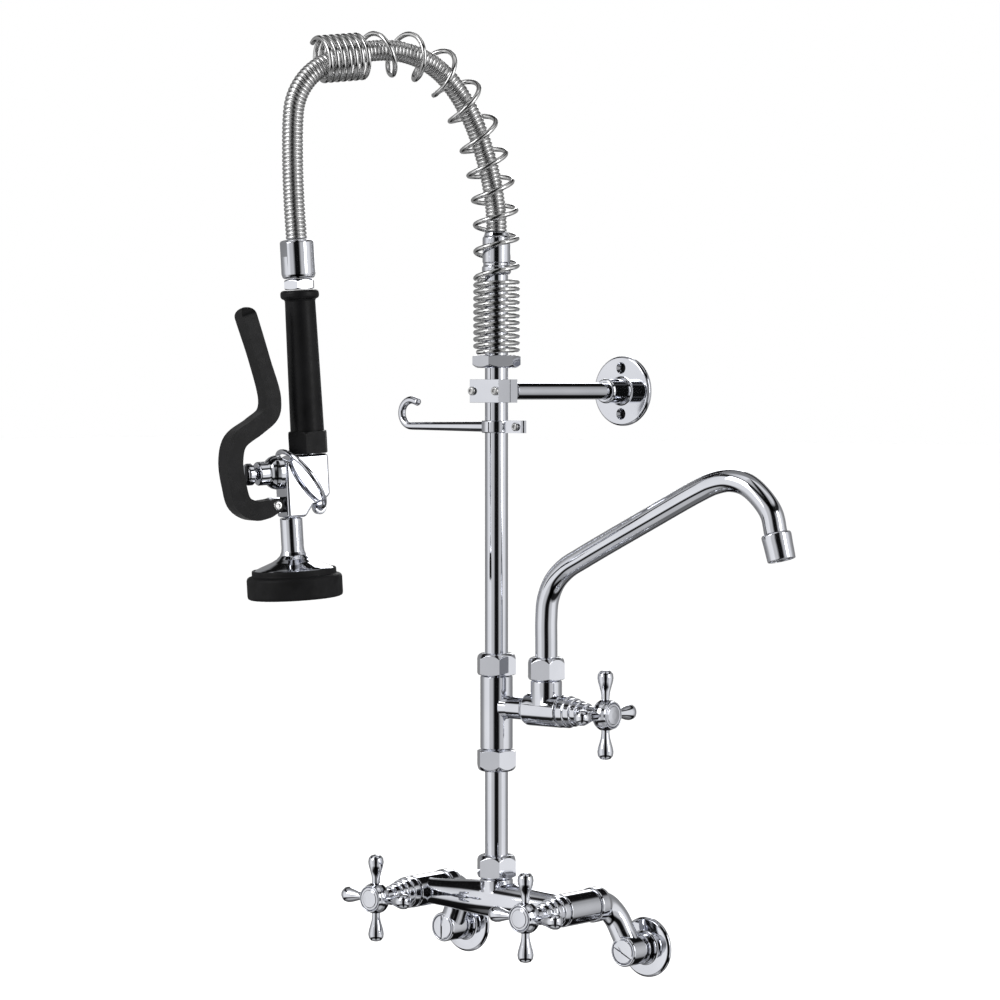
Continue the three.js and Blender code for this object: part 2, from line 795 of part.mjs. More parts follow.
function gunBody() {
  const outline = new THREE.Shape([
    [-12, -166.1],
    [16, -166.1],
    [25, -171],
    [25, -214],
    [9.6, -214],
    [3.4, -205.5],
    [-6, -203],
    [-12, -198],
  ].map(([x, z]) => new THREE.Vector2(x, z)));
  const block = plate(outline, 22);
  const inlet = rod(6.5, -198, -39.2);
  const [pivotX, pivotZ] = LEVER_PIVOT;
  const pivotLug = box(13, 5.2, 12).translate(pivotX - 2.3, 0, pivotZ);
  const [ringX, ringZ] = RING_PIVOT;
  const ringLug = rod(5.2, -3, 3, FINE).rotateX(Math.PI / 2).translate(ringX, 0, ringZ);
  const lugNeck = box(8, 6, 6).translate(ringX + 4, 0, ringZ + 4);
  const bore = rod(4.6, -197, -38, FINE);
  const pocket = faceRight(rod(8, 6, 26)).translate(0, 0, STEM_Z);
  const outletBore = rod(5, -216, STEM_Z, FINE).translate(12, 0, 0);
  const pinHole = rod(2.3, -10, 10, FINE).rotateX(Math.PI / 2).translate(pivotX, 0, pivotZ);
  const ringHole = rod(RING_WIRE_R + 0.8, -10, 10, FINE).rotateX(Math.PI / 2);
  ringHole.translate(ringX, 0, ringZ);
  const whole = join(block, inlet, pivotLug, ringLug, lugNeck);
  return piece("gun_body", cut(whole, bore, pocket, outletBore, pinHole, ringHole), CHROME);
}

function gunBonnet() {
  return turned([
    [8, 25.3],
    [13.2, 25.3],
    [13.2, 30],
    [11.8, 34],
    [9.2, 36.6],
    [9.2, 45],
    [4.7, 45],
    [4.7, 31],
    [8, 31],
    [8, 25.3],
  ]);
}

function stem() {
  return turned([
    [0, 21],
    [7.2, 21],
    [7.2, 23],
    [4.2, 23],
    [4.2, 49],
    [8.5, 49],
    [8.5, 53.6],
    [7, 55],
    [0, 55],
  ]);
}

// The return spring in the body's pocket, behind the stem.
function stemSpring() {
  const points = [];
  const turns = 4;
  const perTurn = 8;
  for (let i = 0; i <= turns * perTurn; i++) {
    const angle = (i / perTurn) * 2 * Math.PI;
    points.push([7.2 + (i / (turns * perTurn)) * 12.6, 5.8 * Math.cos(angle), 5.8 * Math.sin(angle)]);
  }
  return tubeAlong(throughPoints(points), 0.7, turns * perTurn, 5).translate(0, 0, STEM_Z);
}

// The squeeze lever's centre line with its half width, from the pivot round to the free end.
const LEVER_LINE = [
  [...LEVER_PIVOT, 5.6],
  [41, -206, 7],
  [50.5, -206.4, 7.6],
  [60.5, -200.5, 7.2],
  [64.5, -186, 7],
  [66, -167, 7],
  [61.5, -152.5, 7],
  [44.6, -141.6, 6.8],
  [33, -133, 6.6],
  [30.5, -122, 6.2],
  [37.3, -90.8, 5.6],
  [46.8, -56, 6],
];

function leverOutline() {
  const centre = throughPoints(LEVER_LINE.map(([x, z]) => [x, 0, z]));
  const widths = throughPoints(LEVER_LINE.map(([, , half], i) => [i, 0, half]));
  const steps = 26;
  const near = [];
  const far = [];
  for (let i = 0; i <= steps; i++) {
    const point = centre.getPoint(i / steps);
    const ahead = centre.getTangent(i / steps);
    const half = widths.getPoint(i / steps).z;
    near.push(new THREE.Vector2(point.x - ahead.z * half, point.z + ahead.x * half));
    far.push(new THREE.Vector2(point.x + ahead.z * half, point.z - ahead.x * half));
  }
  const tip = LEVER_LINE[LEVER_LINE.length - 1];
  const endCap = [0.2, 0.4, 0.6, 0.8].map((share) => {
    const from = Math.atan2(near[steps].y - tip[1], near[steps].x - tip[0]);
    const turn = from - share * Math.PI;
    return new THREE.Vector2(tip[0] + tip[2] * Math.cos(turn), tip[1] + tip[2] * Math.sin(turn));
  });
  return new THREE.Shape([...near, ...endCap, ...far.reverse()]);
}

function lever() {
  const [pivotX, pivotZ] = LEVER_PIVOT;
  const eye = rod(5.8, -8, 8, FINE).rotateX(Math.PI / 2).translate(pivotX, 0, pivotZ);
  const slot = box(16, 6, 20).translate(pivotX - 1, 0, pivotZ);
  const hole = rod(2.3, -10, 10, FINE).rotateX(Math.PI / 2).translate(pivotX, 0, pivotZ);
  return cut(join(plate(leverOutline(), 16), eye), slot, hole);
}

function sprayHead() {
  const bell = cut(
    turned([
      [0, -256.5],
      [31.5, -256.5],
      [31.5, -255],
      [29, -253.2],
      [21, -250],
      [13, -246.2],
      [9.6, -242.6],
      [8.7, -238.6],
      [8.7, -214.4],
      [0, -214.4],
    ]),
    turned([[0, -258], [27, -258], [27, -255], [5, -244.5], [5, -213], [0, -213]], FINE),
  );
  const bumper = turned([
    [28.5, -276.3],
    [36.3, -276.3],
    [37.1, -275.3],
    [37.1, -260],
    [36.1, -258.9],
    [32.6, -258.7],
    [32.6, -254],
    [31.8, -254],
    [31.8, -256.9],
    [28.5, -256.9],
    [28.5, -276.3],
  ]);
  const face = turned([
    [0, -270.4],
    [27.4, -270.4],
    [27.4, -267.4],
    [25, -267.4],
    [25, -256.1],
    [23.4, -256.1],
    [23.4, -267.4],
    [0, -267.4],
  ]);
  return at(
    group(
      piece("spray_bell", bell, CHROME),
      piece("spray_bumper", bumper, RUBBER),
      piece("spray_face", face, STEEL),
    ),
    GUN_OUTLET_OUT,
    0,
    0,
  );
}

// The ring starts in the plane that holds the gun's X and Y, with its far side above the bonnet.
function hangRing() {
  const ring = new THREE.TorusGeometry(RING_R, RING_WIRE_R, 8, 28).translate(RING_R, 0, 0);
  ring.rotateY(-RING_LEAN);
  return ring.translate(RING_PIVOT[0], 0, RING_PIVOT[1]);
}

function sprayGun() {
  const stemParts = group(
    piece("gun_bonnet", gunBonnet(), CHROME),
    piece("valve_stem", stem(), CHROME),
  );
  stemParts.rotation.y = Math.PI / 2;
  const pin = turned([
    [0, -8.6],
    [3.6, -8.6],
    [3.6, -8.2],
    [2, -8.2],
    [2, 8.2],
    [3.6, 8.2],
    [3, 9.6],
    [0, 9.6],
  ], FINE);
  faceFront(pin).rotateZ(Math.PI).translate(LEVER_PIVOT[0], 0, LEVER_PIVOT[1]);
  return group(
    ...hoseEnd(),
    grip(),
    gunBody(),
    at(stemParts, 0, 0, STEM_Z),
    piece("stem_spring", stemSpring(), STEEL),
    piece("lever_pin", pin, STEEL),
    piece("squeeze_lever", lever(), PLASTIC),
    piece("hang_ring", hangRing(), CHROME),
    sprayHead(),
  );
}

// ---------- assembly ----------

const tap = group(mixerBody(), inletSide(-1, "left"), inletSide(1, "right"));

for (const [name, side] of [["hot", -1], ["cold", 1]]) {
  const trim = valveTrim(name);
  trim.rotation.x = Math.PI / 2;
  tap.add(at(trim, side * VALVE_HALF_SPACING, VALVE_FRONT_Y, VALVE_Z));
}

tap.add(at(riserColumn(), 0, RISER_Y, 0));
tap.add(at(group(spoutNut(), spout()), SPOUT_X, RISER_Y, 0));
tap.add(at(hook(), 0, RISER_Y, 0));
tap.add(at(bracket(), 0, RISER_Y, BRACKET_Z));

const gun = at(sprayGun(), GUN_OUT, 0, GUN_Z);
gun.rotation.y = GUN_TILT;
const arch = at(group(overhead(), gun), 0, RISER_Y, 0);
arch.rotation.z = ARCH_TURN;
tap.add(arch);

export default tap;
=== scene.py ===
"""A wall-mounted pre-rinse tap in polished chrome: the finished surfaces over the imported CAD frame.

Lengths are in millimetres until a mesh is made, and every local frame is the one that the CAD uses:
+Z up, the user at -Y, and the origin midway between the water inlets on the wall plane.
"""

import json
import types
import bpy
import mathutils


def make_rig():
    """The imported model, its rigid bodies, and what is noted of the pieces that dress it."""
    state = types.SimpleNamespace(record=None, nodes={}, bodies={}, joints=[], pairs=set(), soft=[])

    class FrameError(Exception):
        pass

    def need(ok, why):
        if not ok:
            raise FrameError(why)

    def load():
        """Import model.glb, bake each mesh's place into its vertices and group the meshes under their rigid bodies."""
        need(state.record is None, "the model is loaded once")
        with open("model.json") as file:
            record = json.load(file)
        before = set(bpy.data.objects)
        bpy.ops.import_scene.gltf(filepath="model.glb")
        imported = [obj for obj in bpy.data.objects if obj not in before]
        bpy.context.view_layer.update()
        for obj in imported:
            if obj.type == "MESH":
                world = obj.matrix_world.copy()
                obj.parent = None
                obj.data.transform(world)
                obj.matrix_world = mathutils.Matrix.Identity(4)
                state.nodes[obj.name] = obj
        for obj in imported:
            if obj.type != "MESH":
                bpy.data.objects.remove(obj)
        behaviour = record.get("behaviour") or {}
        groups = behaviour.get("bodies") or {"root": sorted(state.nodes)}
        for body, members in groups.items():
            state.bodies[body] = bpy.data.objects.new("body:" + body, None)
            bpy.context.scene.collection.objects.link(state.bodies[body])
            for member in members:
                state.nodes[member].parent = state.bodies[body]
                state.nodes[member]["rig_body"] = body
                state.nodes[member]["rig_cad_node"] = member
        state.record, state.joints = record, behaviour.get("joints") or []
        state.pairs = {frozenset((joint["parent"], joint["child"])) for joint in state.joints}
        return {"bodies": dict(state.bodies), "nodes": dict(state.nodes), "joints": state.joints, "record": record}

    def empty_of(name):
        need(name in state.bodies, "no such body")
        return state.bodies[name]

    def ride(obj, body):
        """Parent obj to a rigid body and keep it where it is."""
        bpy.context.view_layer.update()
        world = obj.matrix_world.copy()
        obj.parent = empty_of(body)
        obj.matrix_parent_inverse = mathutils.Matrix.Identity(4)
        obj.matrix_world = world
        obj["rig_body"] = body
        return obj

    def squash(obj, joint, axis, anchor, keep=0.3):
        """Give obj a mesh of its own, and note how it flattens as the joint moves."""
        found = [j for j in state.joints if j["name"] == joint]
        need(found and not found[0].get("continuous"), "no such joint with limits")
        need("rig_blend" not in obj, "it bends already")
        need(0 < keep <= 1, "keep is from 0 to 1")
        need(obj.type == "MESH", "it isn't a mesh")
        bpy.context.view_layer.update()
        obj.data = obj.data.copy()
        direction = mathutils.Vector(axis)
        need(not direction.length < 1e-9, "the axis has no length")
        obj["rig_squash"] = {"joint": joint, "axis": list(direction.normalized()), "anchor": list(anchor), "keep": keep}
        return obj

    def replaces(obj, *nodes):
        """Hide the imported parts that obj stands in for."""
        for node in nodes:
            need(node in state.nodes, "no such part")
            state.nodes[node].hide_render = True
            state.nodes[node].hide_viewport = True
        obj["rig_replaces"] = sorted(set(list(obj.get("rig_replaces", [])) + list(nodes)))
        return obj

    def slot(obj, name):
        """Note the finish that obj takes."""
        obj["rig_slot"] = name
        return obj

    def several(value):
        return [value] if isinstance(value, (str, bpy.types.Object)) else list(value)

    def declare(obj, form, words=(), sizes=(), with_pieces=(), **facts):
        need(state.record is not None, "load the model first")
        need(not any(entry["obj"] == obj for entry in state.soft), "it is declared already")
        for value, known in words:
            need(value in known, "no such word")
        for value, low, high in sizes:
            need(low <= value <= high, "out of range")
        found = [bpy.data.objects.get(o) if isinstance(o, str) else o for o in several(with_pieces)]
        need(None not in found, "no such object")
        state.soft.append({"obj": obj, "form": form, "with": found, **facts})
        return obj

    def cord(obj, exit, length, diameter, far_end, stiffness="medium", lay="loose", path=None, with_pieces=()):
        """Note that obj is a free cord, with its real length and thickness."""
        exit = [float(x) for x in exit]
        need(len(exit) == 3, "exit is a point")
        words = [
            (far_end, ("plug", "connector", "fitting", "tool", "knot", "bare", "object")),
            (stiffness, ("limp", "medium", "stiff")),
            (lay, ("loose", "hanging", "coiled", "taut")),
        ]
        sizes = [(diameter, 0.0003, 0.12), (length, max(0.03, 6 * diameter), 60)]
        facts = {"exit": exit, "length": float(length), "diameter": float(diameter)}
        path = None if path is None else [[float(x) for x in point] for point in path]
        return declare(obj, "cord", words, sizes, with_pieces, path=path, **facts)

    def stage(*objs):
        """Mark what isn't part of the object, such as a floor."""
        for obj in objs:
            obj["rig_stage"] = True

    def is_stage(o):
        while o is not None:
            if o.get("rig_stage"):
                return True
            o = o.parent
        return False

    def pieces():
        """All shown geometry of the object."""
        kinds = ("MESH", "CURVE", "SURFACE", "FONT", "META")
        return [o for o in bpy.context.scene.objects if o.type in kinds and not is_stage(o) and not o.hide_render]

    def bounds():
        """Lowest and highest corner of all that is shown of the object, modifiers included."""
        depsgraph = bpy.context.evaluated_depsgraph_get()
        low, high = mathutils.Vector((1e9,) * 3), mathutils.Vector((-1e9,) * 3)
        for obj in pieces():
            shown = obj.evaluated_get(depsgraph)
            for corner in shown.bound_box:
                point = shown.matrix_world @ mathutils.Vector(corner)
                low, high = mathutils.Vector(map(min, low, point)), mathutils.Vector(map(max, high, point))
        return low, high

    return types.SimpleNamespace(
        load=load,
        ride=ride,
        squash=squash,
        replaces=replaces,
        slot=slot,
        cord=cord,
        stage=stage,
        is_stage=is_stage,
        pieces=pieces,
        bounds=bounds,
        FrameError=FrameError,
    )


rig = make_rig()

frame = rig.load()
CAD_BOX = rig.bounds()

import json
import math

import bmesh
import bpy
from mathutils import Matrix, Vector

# ---------- driving dimensions ----------

MM = 0.001
GAP = 0.3  # between pieces that touch
FACETS = 72  # round a turned piece
FINE_FACETS = 96
ROUND_EDGE = 0.5  # fillet on the edges of turned pieces
SHARP_ANGLE = math.radians(38)  # a steeper edge than this keeps its crease

RISER_Y = -76
RISER_R = 9.25
RISER_BORE_R = 7.4
VALVE_HALF_SPACING = 78
VALVE_Z = 38
VALVE_R = 13
VALVE_FRONT_Y = RISER_Y - 16
VALVE_BACK_Y = RISER_Y + 22
INLET_HALF_SPACING = 95
INLET_BORE_R = 9.3
ELBOW_R = 10.2
STOP_FACE_Y = -33.3
STOP_SLOT_TURNS = {"left": 90, "right": 26}  # degrees from level
WALL_FLANGE_R = 24.2

BASE_NUT_Z = 56
BASE_NUT_HEIGHT = 18
LOWER_TEE_NUT_Z = 141.5
UPPER_TEE_NUT_Z = 218.6
TEE_NUT_HEIGHT = 17
NUT_FLATS = 29
NUT_TURN = -12  # degrees that the riser's nuts are turned from square to the wall
SEAT_NUT_TURN = 21
NUT_THREAD = 8.3  # how far a riser tube starts inside the nut that holds it
TEE_R = 13

SPOUT_VALVE_Z = 193.3
SPOUT_VALVE_BACK_X = 32
SPOUT_VALVE_FRONT_X = 69
SPOUT_X = 51.5
SPOUT_NUT_Z = 217.6
SPOUT_NUT_HEIGHT = 18
SPOUT_NUT_FLATS = 27
SPOUT_R = 8.8

HANDLE_SPAN_R = 35
SPOKE_PLANE = 42
HUB_BACK = 33.6
HUB_FRONT = 50

HOOK_Z = 417.5
HOOK_CURL_X = -90.5
HOOK_CURL_R = 10.6
HOOK_SCREW_X = 23

BRACKET_Z = 446
BRACKET_DEPTH = 162
BRACKET_FLANGE_R = 29.2
BRACKET_SCREW_CIRCLE_R = 19.2
CLAMP_HEIGHT = 18.6
CLAMP_SCREW_X = 12

SEAT_NUT_Z = 464.4
SEAT_NUT_HEIGHT = 10.2
SEAT_NUT_FLATS = 34
COUPLING_Z = 539
COUPLING_TOP_Z = 572.5

HOSE_R = 8.25
HOSE_RIB_PITCH = 3.1
HOSE_RIB_DEPTH = 0.95
SPRING_WIRE_R = 2
SPRING_COIL_R = 16.7
CLOSED_PITCH = 5.4
CLOSED_START_LENGTH = 59
CLOSED_END_LENGTH = 36
OPEN_TURNS = 10
LOW_TURNS = 5  # of the open turns, the ones above the seat that the hose pulls apart least
LOW_PITCH = 21.5

GUN_OUT = 175.8
GUN_Z = 563
GUN_OUTLET_OUT = 18
STEM_Z = -178.5
LEVER_PIVOT = (32.3, -203.6)
RING_PIVOT = (-6.4, -208.3)
RING_R = 26.8
RING_WIRE_R = 2
RING_LEAN = 58  # degrees

CAMERA_AZIMUTH = math.radians(40)
CAMERA_DISTANCE = 2.64
CAMERA_HEIGHT = 0.446
CAMERA_LENS = 118.8
CAMERA_AIM_ASIDE = 0.0028
CAMERA_AIM_HEIGHT = 0.3588
FLOOR_Z = -0.16
FLOOR_HALF = 30
LIGHT_AIM_HEIGHT = 0.35


# ---------- local frames ----------


def shift(x, y, z):
    return Matrix.Translation((x, y, z))


def turn(degrees, axis):
    return Matrix.Rotation(math.radians(degrees), 4, axis)


FACE_FRONT = turn(90, "X")  # +Z becomes -Y
FACE_BACK = turn(-90, "X")
FACE_RIGHT = turn(90, "Y")  # +Z becomes +X
WHOLE = Matrix.Identity(4)
RISER = shift(0, RISER_Y, 0)
ARCH = RISER @ turn(-111.5, "Z")
GUN = ARCH @ shift(GUN_OUT, 0, GUN_Z) @ turn(3.4, "Y")
SPRAY = GUN @ shift(GUN_OUTLET_OUT, 0, 0)
STEM = GUN @ shift(0, 0, STEM_Z) @ FACE_RIGHT
BRACKET = RISER @ shift(0, 0, BRACKET_Z)
BRACKET_WALL = BRACKET @ shift(0, BRACKET_DEPTH, 0) @ FACE_FRONT
SPOUT_VALVE = RISER @ shift(SPOUT_VALVE_FRONT_X, 0, SPOUT_VALVE_Z) @ FACE_RIGHT


# ---------- camera ----------


def add_object(name, data):
    thing = bpy.data.objects.new(name, data)
    bpy.context.scene.collection.objects.link(thing)
    return thing


def make_camera():
    data = bpy.data.cameras.new("camera")
    data.lens = CAMERA_LENS
    data.sensor_width = 36
    camera = add_object("camera", data)
    aside = Vector((math.sin(CAMERA_AZIMUTH), -math.cos(CAMERA_AZIMUTH), 0))
    riser = Vector((0, RISER_Y * MM, 0))
    camera.location = riser + aside * CAMERA_DISTANCE + Vector((0, 0, CAMERA_HEIGHT))
    right = Vector((math.cos(CAMERA_AZIMUTH), math.sin(CAMERA_AZIMUTH), 0))
    aim = riser + right * CAMERA_AIM_ASIDE + Vector((0, 0, CAMERA_AIM_HEIGHT))
    camera.rotation_euler = (aim - camera.location).to_track_quat("-Z", "Y").to_euler()
    bpy.context.scene.camera = camera


# ---------- materials ----------


def new_material(name, color, metallic, roughness):
    material = bpy.data.materials.new(name)
    material.use_nodes = True
    shader = material.node_tree.nodes["Principled BSDF"]
    shader.inputs["Base Color"].default_value = (*color, 1)
    shader.inputs["Metallic"].default_value = metallic
    shader.inputs["Roughness"].default_value = roughness
    return material, shader


def add_node(material, kind, inputs=()):
    """A shader node of one kind, with (input, value) pairs set on it."""
    node = material.node_tree.nodes.new(kind)
    for name, value in inputs:
        node.inputs[name].default_value = value
    return node


def noise_at(material, scale, detail):
    """A noise texture fixed to the object, with `scale` features per metre."""
    place = add_node(material, "ShaderNodeTexCoord")
    noise = add_node(material, "ShaderNodeTexNoise", (("Scale", scale), ("Detail", detail)))
    material.node_tree.links.new(place.outputs["Object"], noise.inputs["Vector"])
    return noise


def vary_roughness(material, shader, noise, low, high):
    """Roughness from low to high over the middle of the noise's values."""
    limits = (("From Min", 0.3), ("From Max", 0.7), ("To Min", low), ("To Max", high))
    ranger = add_node(material, "ShaderNodeMapRange", limits)
    material.node_tree.links.new(noise.outputs["Fac"], ranger.inputs["Value"])
    material.node_tree.links.new(ranger.outputs["Result"], shader.inputs["Roughness"])


def vary_color(material, shader, noise, dark, light):
    ramp = add_node(material, "ShaderNodeValToRGB")
    ramp.color_ramp.elements[0].position = 0.35
    ramp.color_ramp.elements[0].color = (*dark, 1)
    ramp.color_ramp.elements[1].position = 0.65
    ramp.color_ramp.elements[1].color = (*light, 1)
    material.node_tree.links.new(noise.outputs["Fac"], ramp.inputs["Fac"])
    material.node_tree.links.new(ramp.outputs["Color"], shader.inputs["Base Color"])


def add_bump(material, shader, noise, depth, strength):
    bump = add_node(material, "ShaderNodeBump", (("Strength", strength), ("Distance", depth)))
    material.node_tree.links.new(noise.outputs["Fac"], bump.inputs["Height"])
    material.node_tree.links.new(bump.outputs["Normal"], shader.inputs["Normal"])


def chrome_material():
    """Plating over polished brass: a mirror with faint smudges and a slight casting ripple."""
    material, shader = new_material("chrome_plate", (0.8, 0.815, 0.87), 1, 0.05)
    vary_color(material, shader, noise_at(material, 24, 3), (0.76, 0.775, 0.83), (0.82, 0.835, 0.89))
    vary_roughness(material, shader, noise_at(material, 60, 5), 0.03, 0.075)
    add_bump(material, shader, noise_at(material, 90, 2), 0.00004, 0.35)
    return material


def steel_material(name, light, low, high):
    """Drawn stainless steel: grains of roughness along a slightly uneven colour."""
    material, shader = new_material(name, (light, light, light), 1, low)
    tone = light * 0.88
    vary_color(material, shader, noise_at(material, 140, 4), (tone, tone, tone), (light, light, light))
    vary_roughness(material, shader, noise_at(material, 900, 6), low, high)
    add_bump(material, shader, noise_at(material, 2200, 4), 0.00002, 0.3)
    return material


def brass_material():
    material, shader = new_material("machined_brass", (0.69, 0.5, 0.24), 1, 0.3)
    vary_color(material, shader, noise_at(material, 90, 4), (0.6, 0.42, 0.18), (0.74, 0.56, 0.3))
    vary_roughness(material, shader, noise_at(material, 700, 5), 0.22, 0.4)
    return material


def moulded_material(name, dark, light, low, high, grain):
    """Moulded black rubber or plastic: a fine pebbled grain under broad, faint handling marks."""
    material, shader = new_material(name, light, 0, low)
    vary_color(material, shader, noise_at(material, 45, 5), dark, light)
    vary_roughness(material, shader, noise_at(material, 160, 6), low, high)
    add_bump(material, shader, noise_at(material, grain, 6), 0.00012, 0.45)
    shader.inputs["Specular IOR Level"].default_value = 0.16
    return material


CHROME = chrome_material()
SPRING_STEEL = steel_material("spring_steel", 0.82, 0.08, 0.16)
HOSE_STEEL = steel_material("hose_steel", 0.74, 0.16, 0.3)
SCREW_STEEL = steel_material("screw_steel", 0.7, 0.16, 0.28)
BRASS = brass_material()
PLASTIC_DARK = (0.003, 0.003, 0.0034)
PLASTIC_LIGHT = (0.006, 0.006, 0.0066)
GRIP_PLASTIC = moulded_material("grip_plastic", PLASTIC_DARK, PLASTIC_LIGHT, 0.3, 0.42, 1900)
LEVER_PLASTIC = moulded_material("lever_plastic", PLASTIC_DARK, PLASTIC_LIGHT, 0.24, 0.36, 1500)
RUBBER = moulded_material("bumper_rubber", (0.004, 0.004, 0.0044), (0.008, 0.008, 0.0088), 0.48, 0.66, 1200)


# ---------- mesh helpers ----------


def fillet(profile, radius):
    """The profile with each sharp corner replaced by a short arc, so that edges catch the light."""
    closed = profile[0] == profile[-1]
    points = [Vector(p) for p in profile]
    if closed:
        points = points[:-1]
    count = len(points)
    rounded = []
    for i, corner in enumerate(points):
        if not closed and i in (0, count - 1):
            rounded.append(corner)
            continue
        before = points[i - 1] - corner
        after = points[(i + 1) % count] - corner
        reach = min(radius, before.length * 0.45, after.length * 0.45)
        start = corner + before.normalized() * reach
        end = corner + after.normalized() * reach
        for step in range(4):
            t = step / 3
            rounded.append(start * (1 - t) ** 2 + corner * 2 * t * (1 - t) + end * t**2)
    if closed:
        rounded.append(rounded[0])
    return rounded


def lathe(profile, place, radius=ROUND_EDGE, facets=FACETS, flats=None):
    """A turned shell about +Z as (points, faces). `flats` trims it to a hexagon across those flats."""
    outline = fillet(profile, radius) if radius else [Vector(p) for p in profile]
    if flats:
        outline = thicken_rows(outline)
    on_axis = [p.x < 1e-6 for p in outline]
    points = []
    starts = []
    for p, pole in zip(outline, on_axis):
        starts.append(len(points))
        if pole:
            points.append(place @ Vector((0, 0, p.y)))
            continue
        for k in range(facets):
            angle = 2 * math.pi * k / facets
            reach = p.x
            if flats:
                sector = 2 * math.pi / 6
                off = (angle + math.pi / 2 + sector / 2) % sector - sector / 2
                near_flat = flats / 2 / math.cos(sector / 2 - abs(off))
                reach = min(reach, near_flat)
            points.append(place @ Vector((reach * math.cos(angle), reach * math.sin(angle), p.y)))
    faces = []
    for i in range(len(outline) - 1):
        low, high = starts[i], starts[i + 1]
        for k in range(facets):
            n = (k + 1) % facets
            if on_axis[i] and on_axis[i + 1]:
                continue
            if on_axis[i]:
                faces.append((low, high + n, high + k))
            elif on_axis[i + 1]:
                faces.append((low + k, low + n, high))
            else:
                faces.append((low + k, low + n, high + n, high + k))
    return points, faces


def thicken_rows(outline):
    """Extra rows along a profile, so that flats trimmed from it have clean curved borders."""
    rows = [outline[0]]
    for start, end in zip(outline, outline[1:]):
        pieces = max(1, min(10, round((end - start).length / 0.5)))
        rows += [start.lerp(end, (i + 1) / pieces) for i in range(pieces)]
    return rows


def smooth_path(points, steps):
    """Points evenly spread along a centripetal Catmull-Rom curve through `points`."""
    knots = [Vector(p) for p in points]
    padded = [knots[0] * 2 - knots[1], *knots, knots[-1] * 2 - knots[-2]]
    dense = []
    for i in range(1, len(padded) - 2):
        p0, p1, p2, p3 = padded[i - 1 : i + 3]
        t1 = (p1 - p0).length ** 0.5
        t2 = t1 + (p2 - p1).length ** 0.5
        t3 = t2 + (p3 - p2).length ** 0.5
        for k in range(24):
            t = t1 + (t2 - t1) * k / 24
            a1 = p0.lerp(p1, t / t1)
            a2 = p1.lerp(p2, (t - t1) / (t2 - t1))
            a3 = p2.lerp(p3, (t - t2) / (t3 - t2))
            b1 = a1.lerp(a2, t / t2)
            b2 = a2.lerp(a3, (t - t1) / (t3 - t1))
            dense.append(b1.lerp(b2, (t - t1) / (t2 - t1)))
    dense.append(knots[-1])
    return even(dense, steps)


def path_length(points):
    return sum((b - a).length for a, b in zip(points, points[1:]))


def even(points, steps):
    """The same path, cut into `steps` pieces of equal length."""
    total = path_length(points)
    spread = [points[0]]
    travelled = 0
    i = 0
    for k in range(1, steps):
        target = total * k / steps
        while travelled + (points[i + 1] - points[i]).length < target:
            travelled += (points[i + 1] - points[i]).length
            i += 1
        share = (target - travelled) / (points[i + 1] - points[i]).length
        spread.append(points[i].lerp(points[i + 1], share))
    spread.append(points[-1])
    return spread


def sweep(path, radius, place, sides=28, capped=True):
    """A round shell along a path as (points, faces). `radius` is a number or a function of 0..1."""
    size = radius if callable(radius) else lambda share: radius
    count = len(path)
    ahead = (path[1] - path[0]).normalized()
    side = ahead.orthogonal().normalized()
    points = []
    for i, centre in enumerate(path):
        behind = path[max(i - 1, 0)]
        front = path[min(i + 1, count - 1)]
        ahead = (front - behind).normalized()
        side = (side - ahead * side.dot(ahead)).normalized()
        over = ahead.cross(side)
        reach = size(i / (count - 1))
        for k in range(sides):
            angle = 2 * math.pi * k / sides
            offset = side * (reach * math.cos(angle)) + over * (reach * math.sin(angle))
            points.append(place @ (centre + offset))
    faces = []
    for i in range(count - 1):
        for k in range(sides):
            n = (k + 1) % sides
            faces.append((i * sides + k, i * sides + n, (i + 1) * sides + n, (i + 1) * sides + k))
    if capped:
        faces.append(tuple(reversed(range(sides))))
        last = (count - 1) * sides
        faces.append(tuple(range(last, last + sides)))
    return points, faces


def slab(outline, thickness, place):
    """A plate about y = 0 with its outline in the X-Z plane, as (points, faces)."""
    half = thickness / 2
    front = [place @ Vector((x, -half, z)) for x, z in outline]
    back = [place @ Vector((x, half, z)) for x, z in outline]
    n = len(outline)
    faces = [tuple(range(n)), tuple(reversed(range(n, 2 * n)))]
    faces += [(i, n + i, n + (i + 1) % n, (i + 1) % n) for i in range(n)]
    return front + back, faces


def block(width, depth, height, place):
    x, z = width / 2, height / 2
    return slab([(-x, -z), (x, -z), (x, z), (-x, z)], depth, place)


def new_object(name, shells, material):
    """One mesh object from several shells, in metres, with its faces turned outwards."""
    mesh = bpy.data.meshes.new(name)
    points = []
    faces = []
    for shell_points, shell_faces in shells:
        base = len(points)
        points += [p * MM for p in shell_points]
        faces += [tuple(base + v for v in face) for face in shell_faces]
    mesh.from_pydata(points, [], faces)
    tidy = bmesh.new()
    tidy.from_mesh(mesh)
    bmesh.ops.remove_doubles(tidy, verts=tidy.verts, dist=1e-6)
    bmesh.ops.recalc_face_normals(tidy, faces=tidy.faces)
    tidy.to_mesh(mesh)
    tidy.free()
    mesh.materials.append(material)
    return add_object(name, mesh)


def apply_modifiers(thing):
    graph = bpy.context.evaluated_depsgraph_get()
    done = bpy.data.meshes.new_from_object(thing.evaluated_get(graph))
    thing.modifiers.clear()
    thing.data = done


def combine(thing, shell, operation):
    """Adds one closed shell to an object, or cuts it away."""
    tool = new_object("tool", [shell], CHROME)
    boolean = thing.modifiers.new("combine", "BOOLEAN")
    boolean.operation = operation
    boolean.solver = "EXACT"
    boolean.object = tool
    apply_modifiers(thing)
    bpy.data.objects.remove(tool)


def carve(thing, *cutters):
    for shell in cutters:
        combine(thing, shell, "DIFFERENCE")


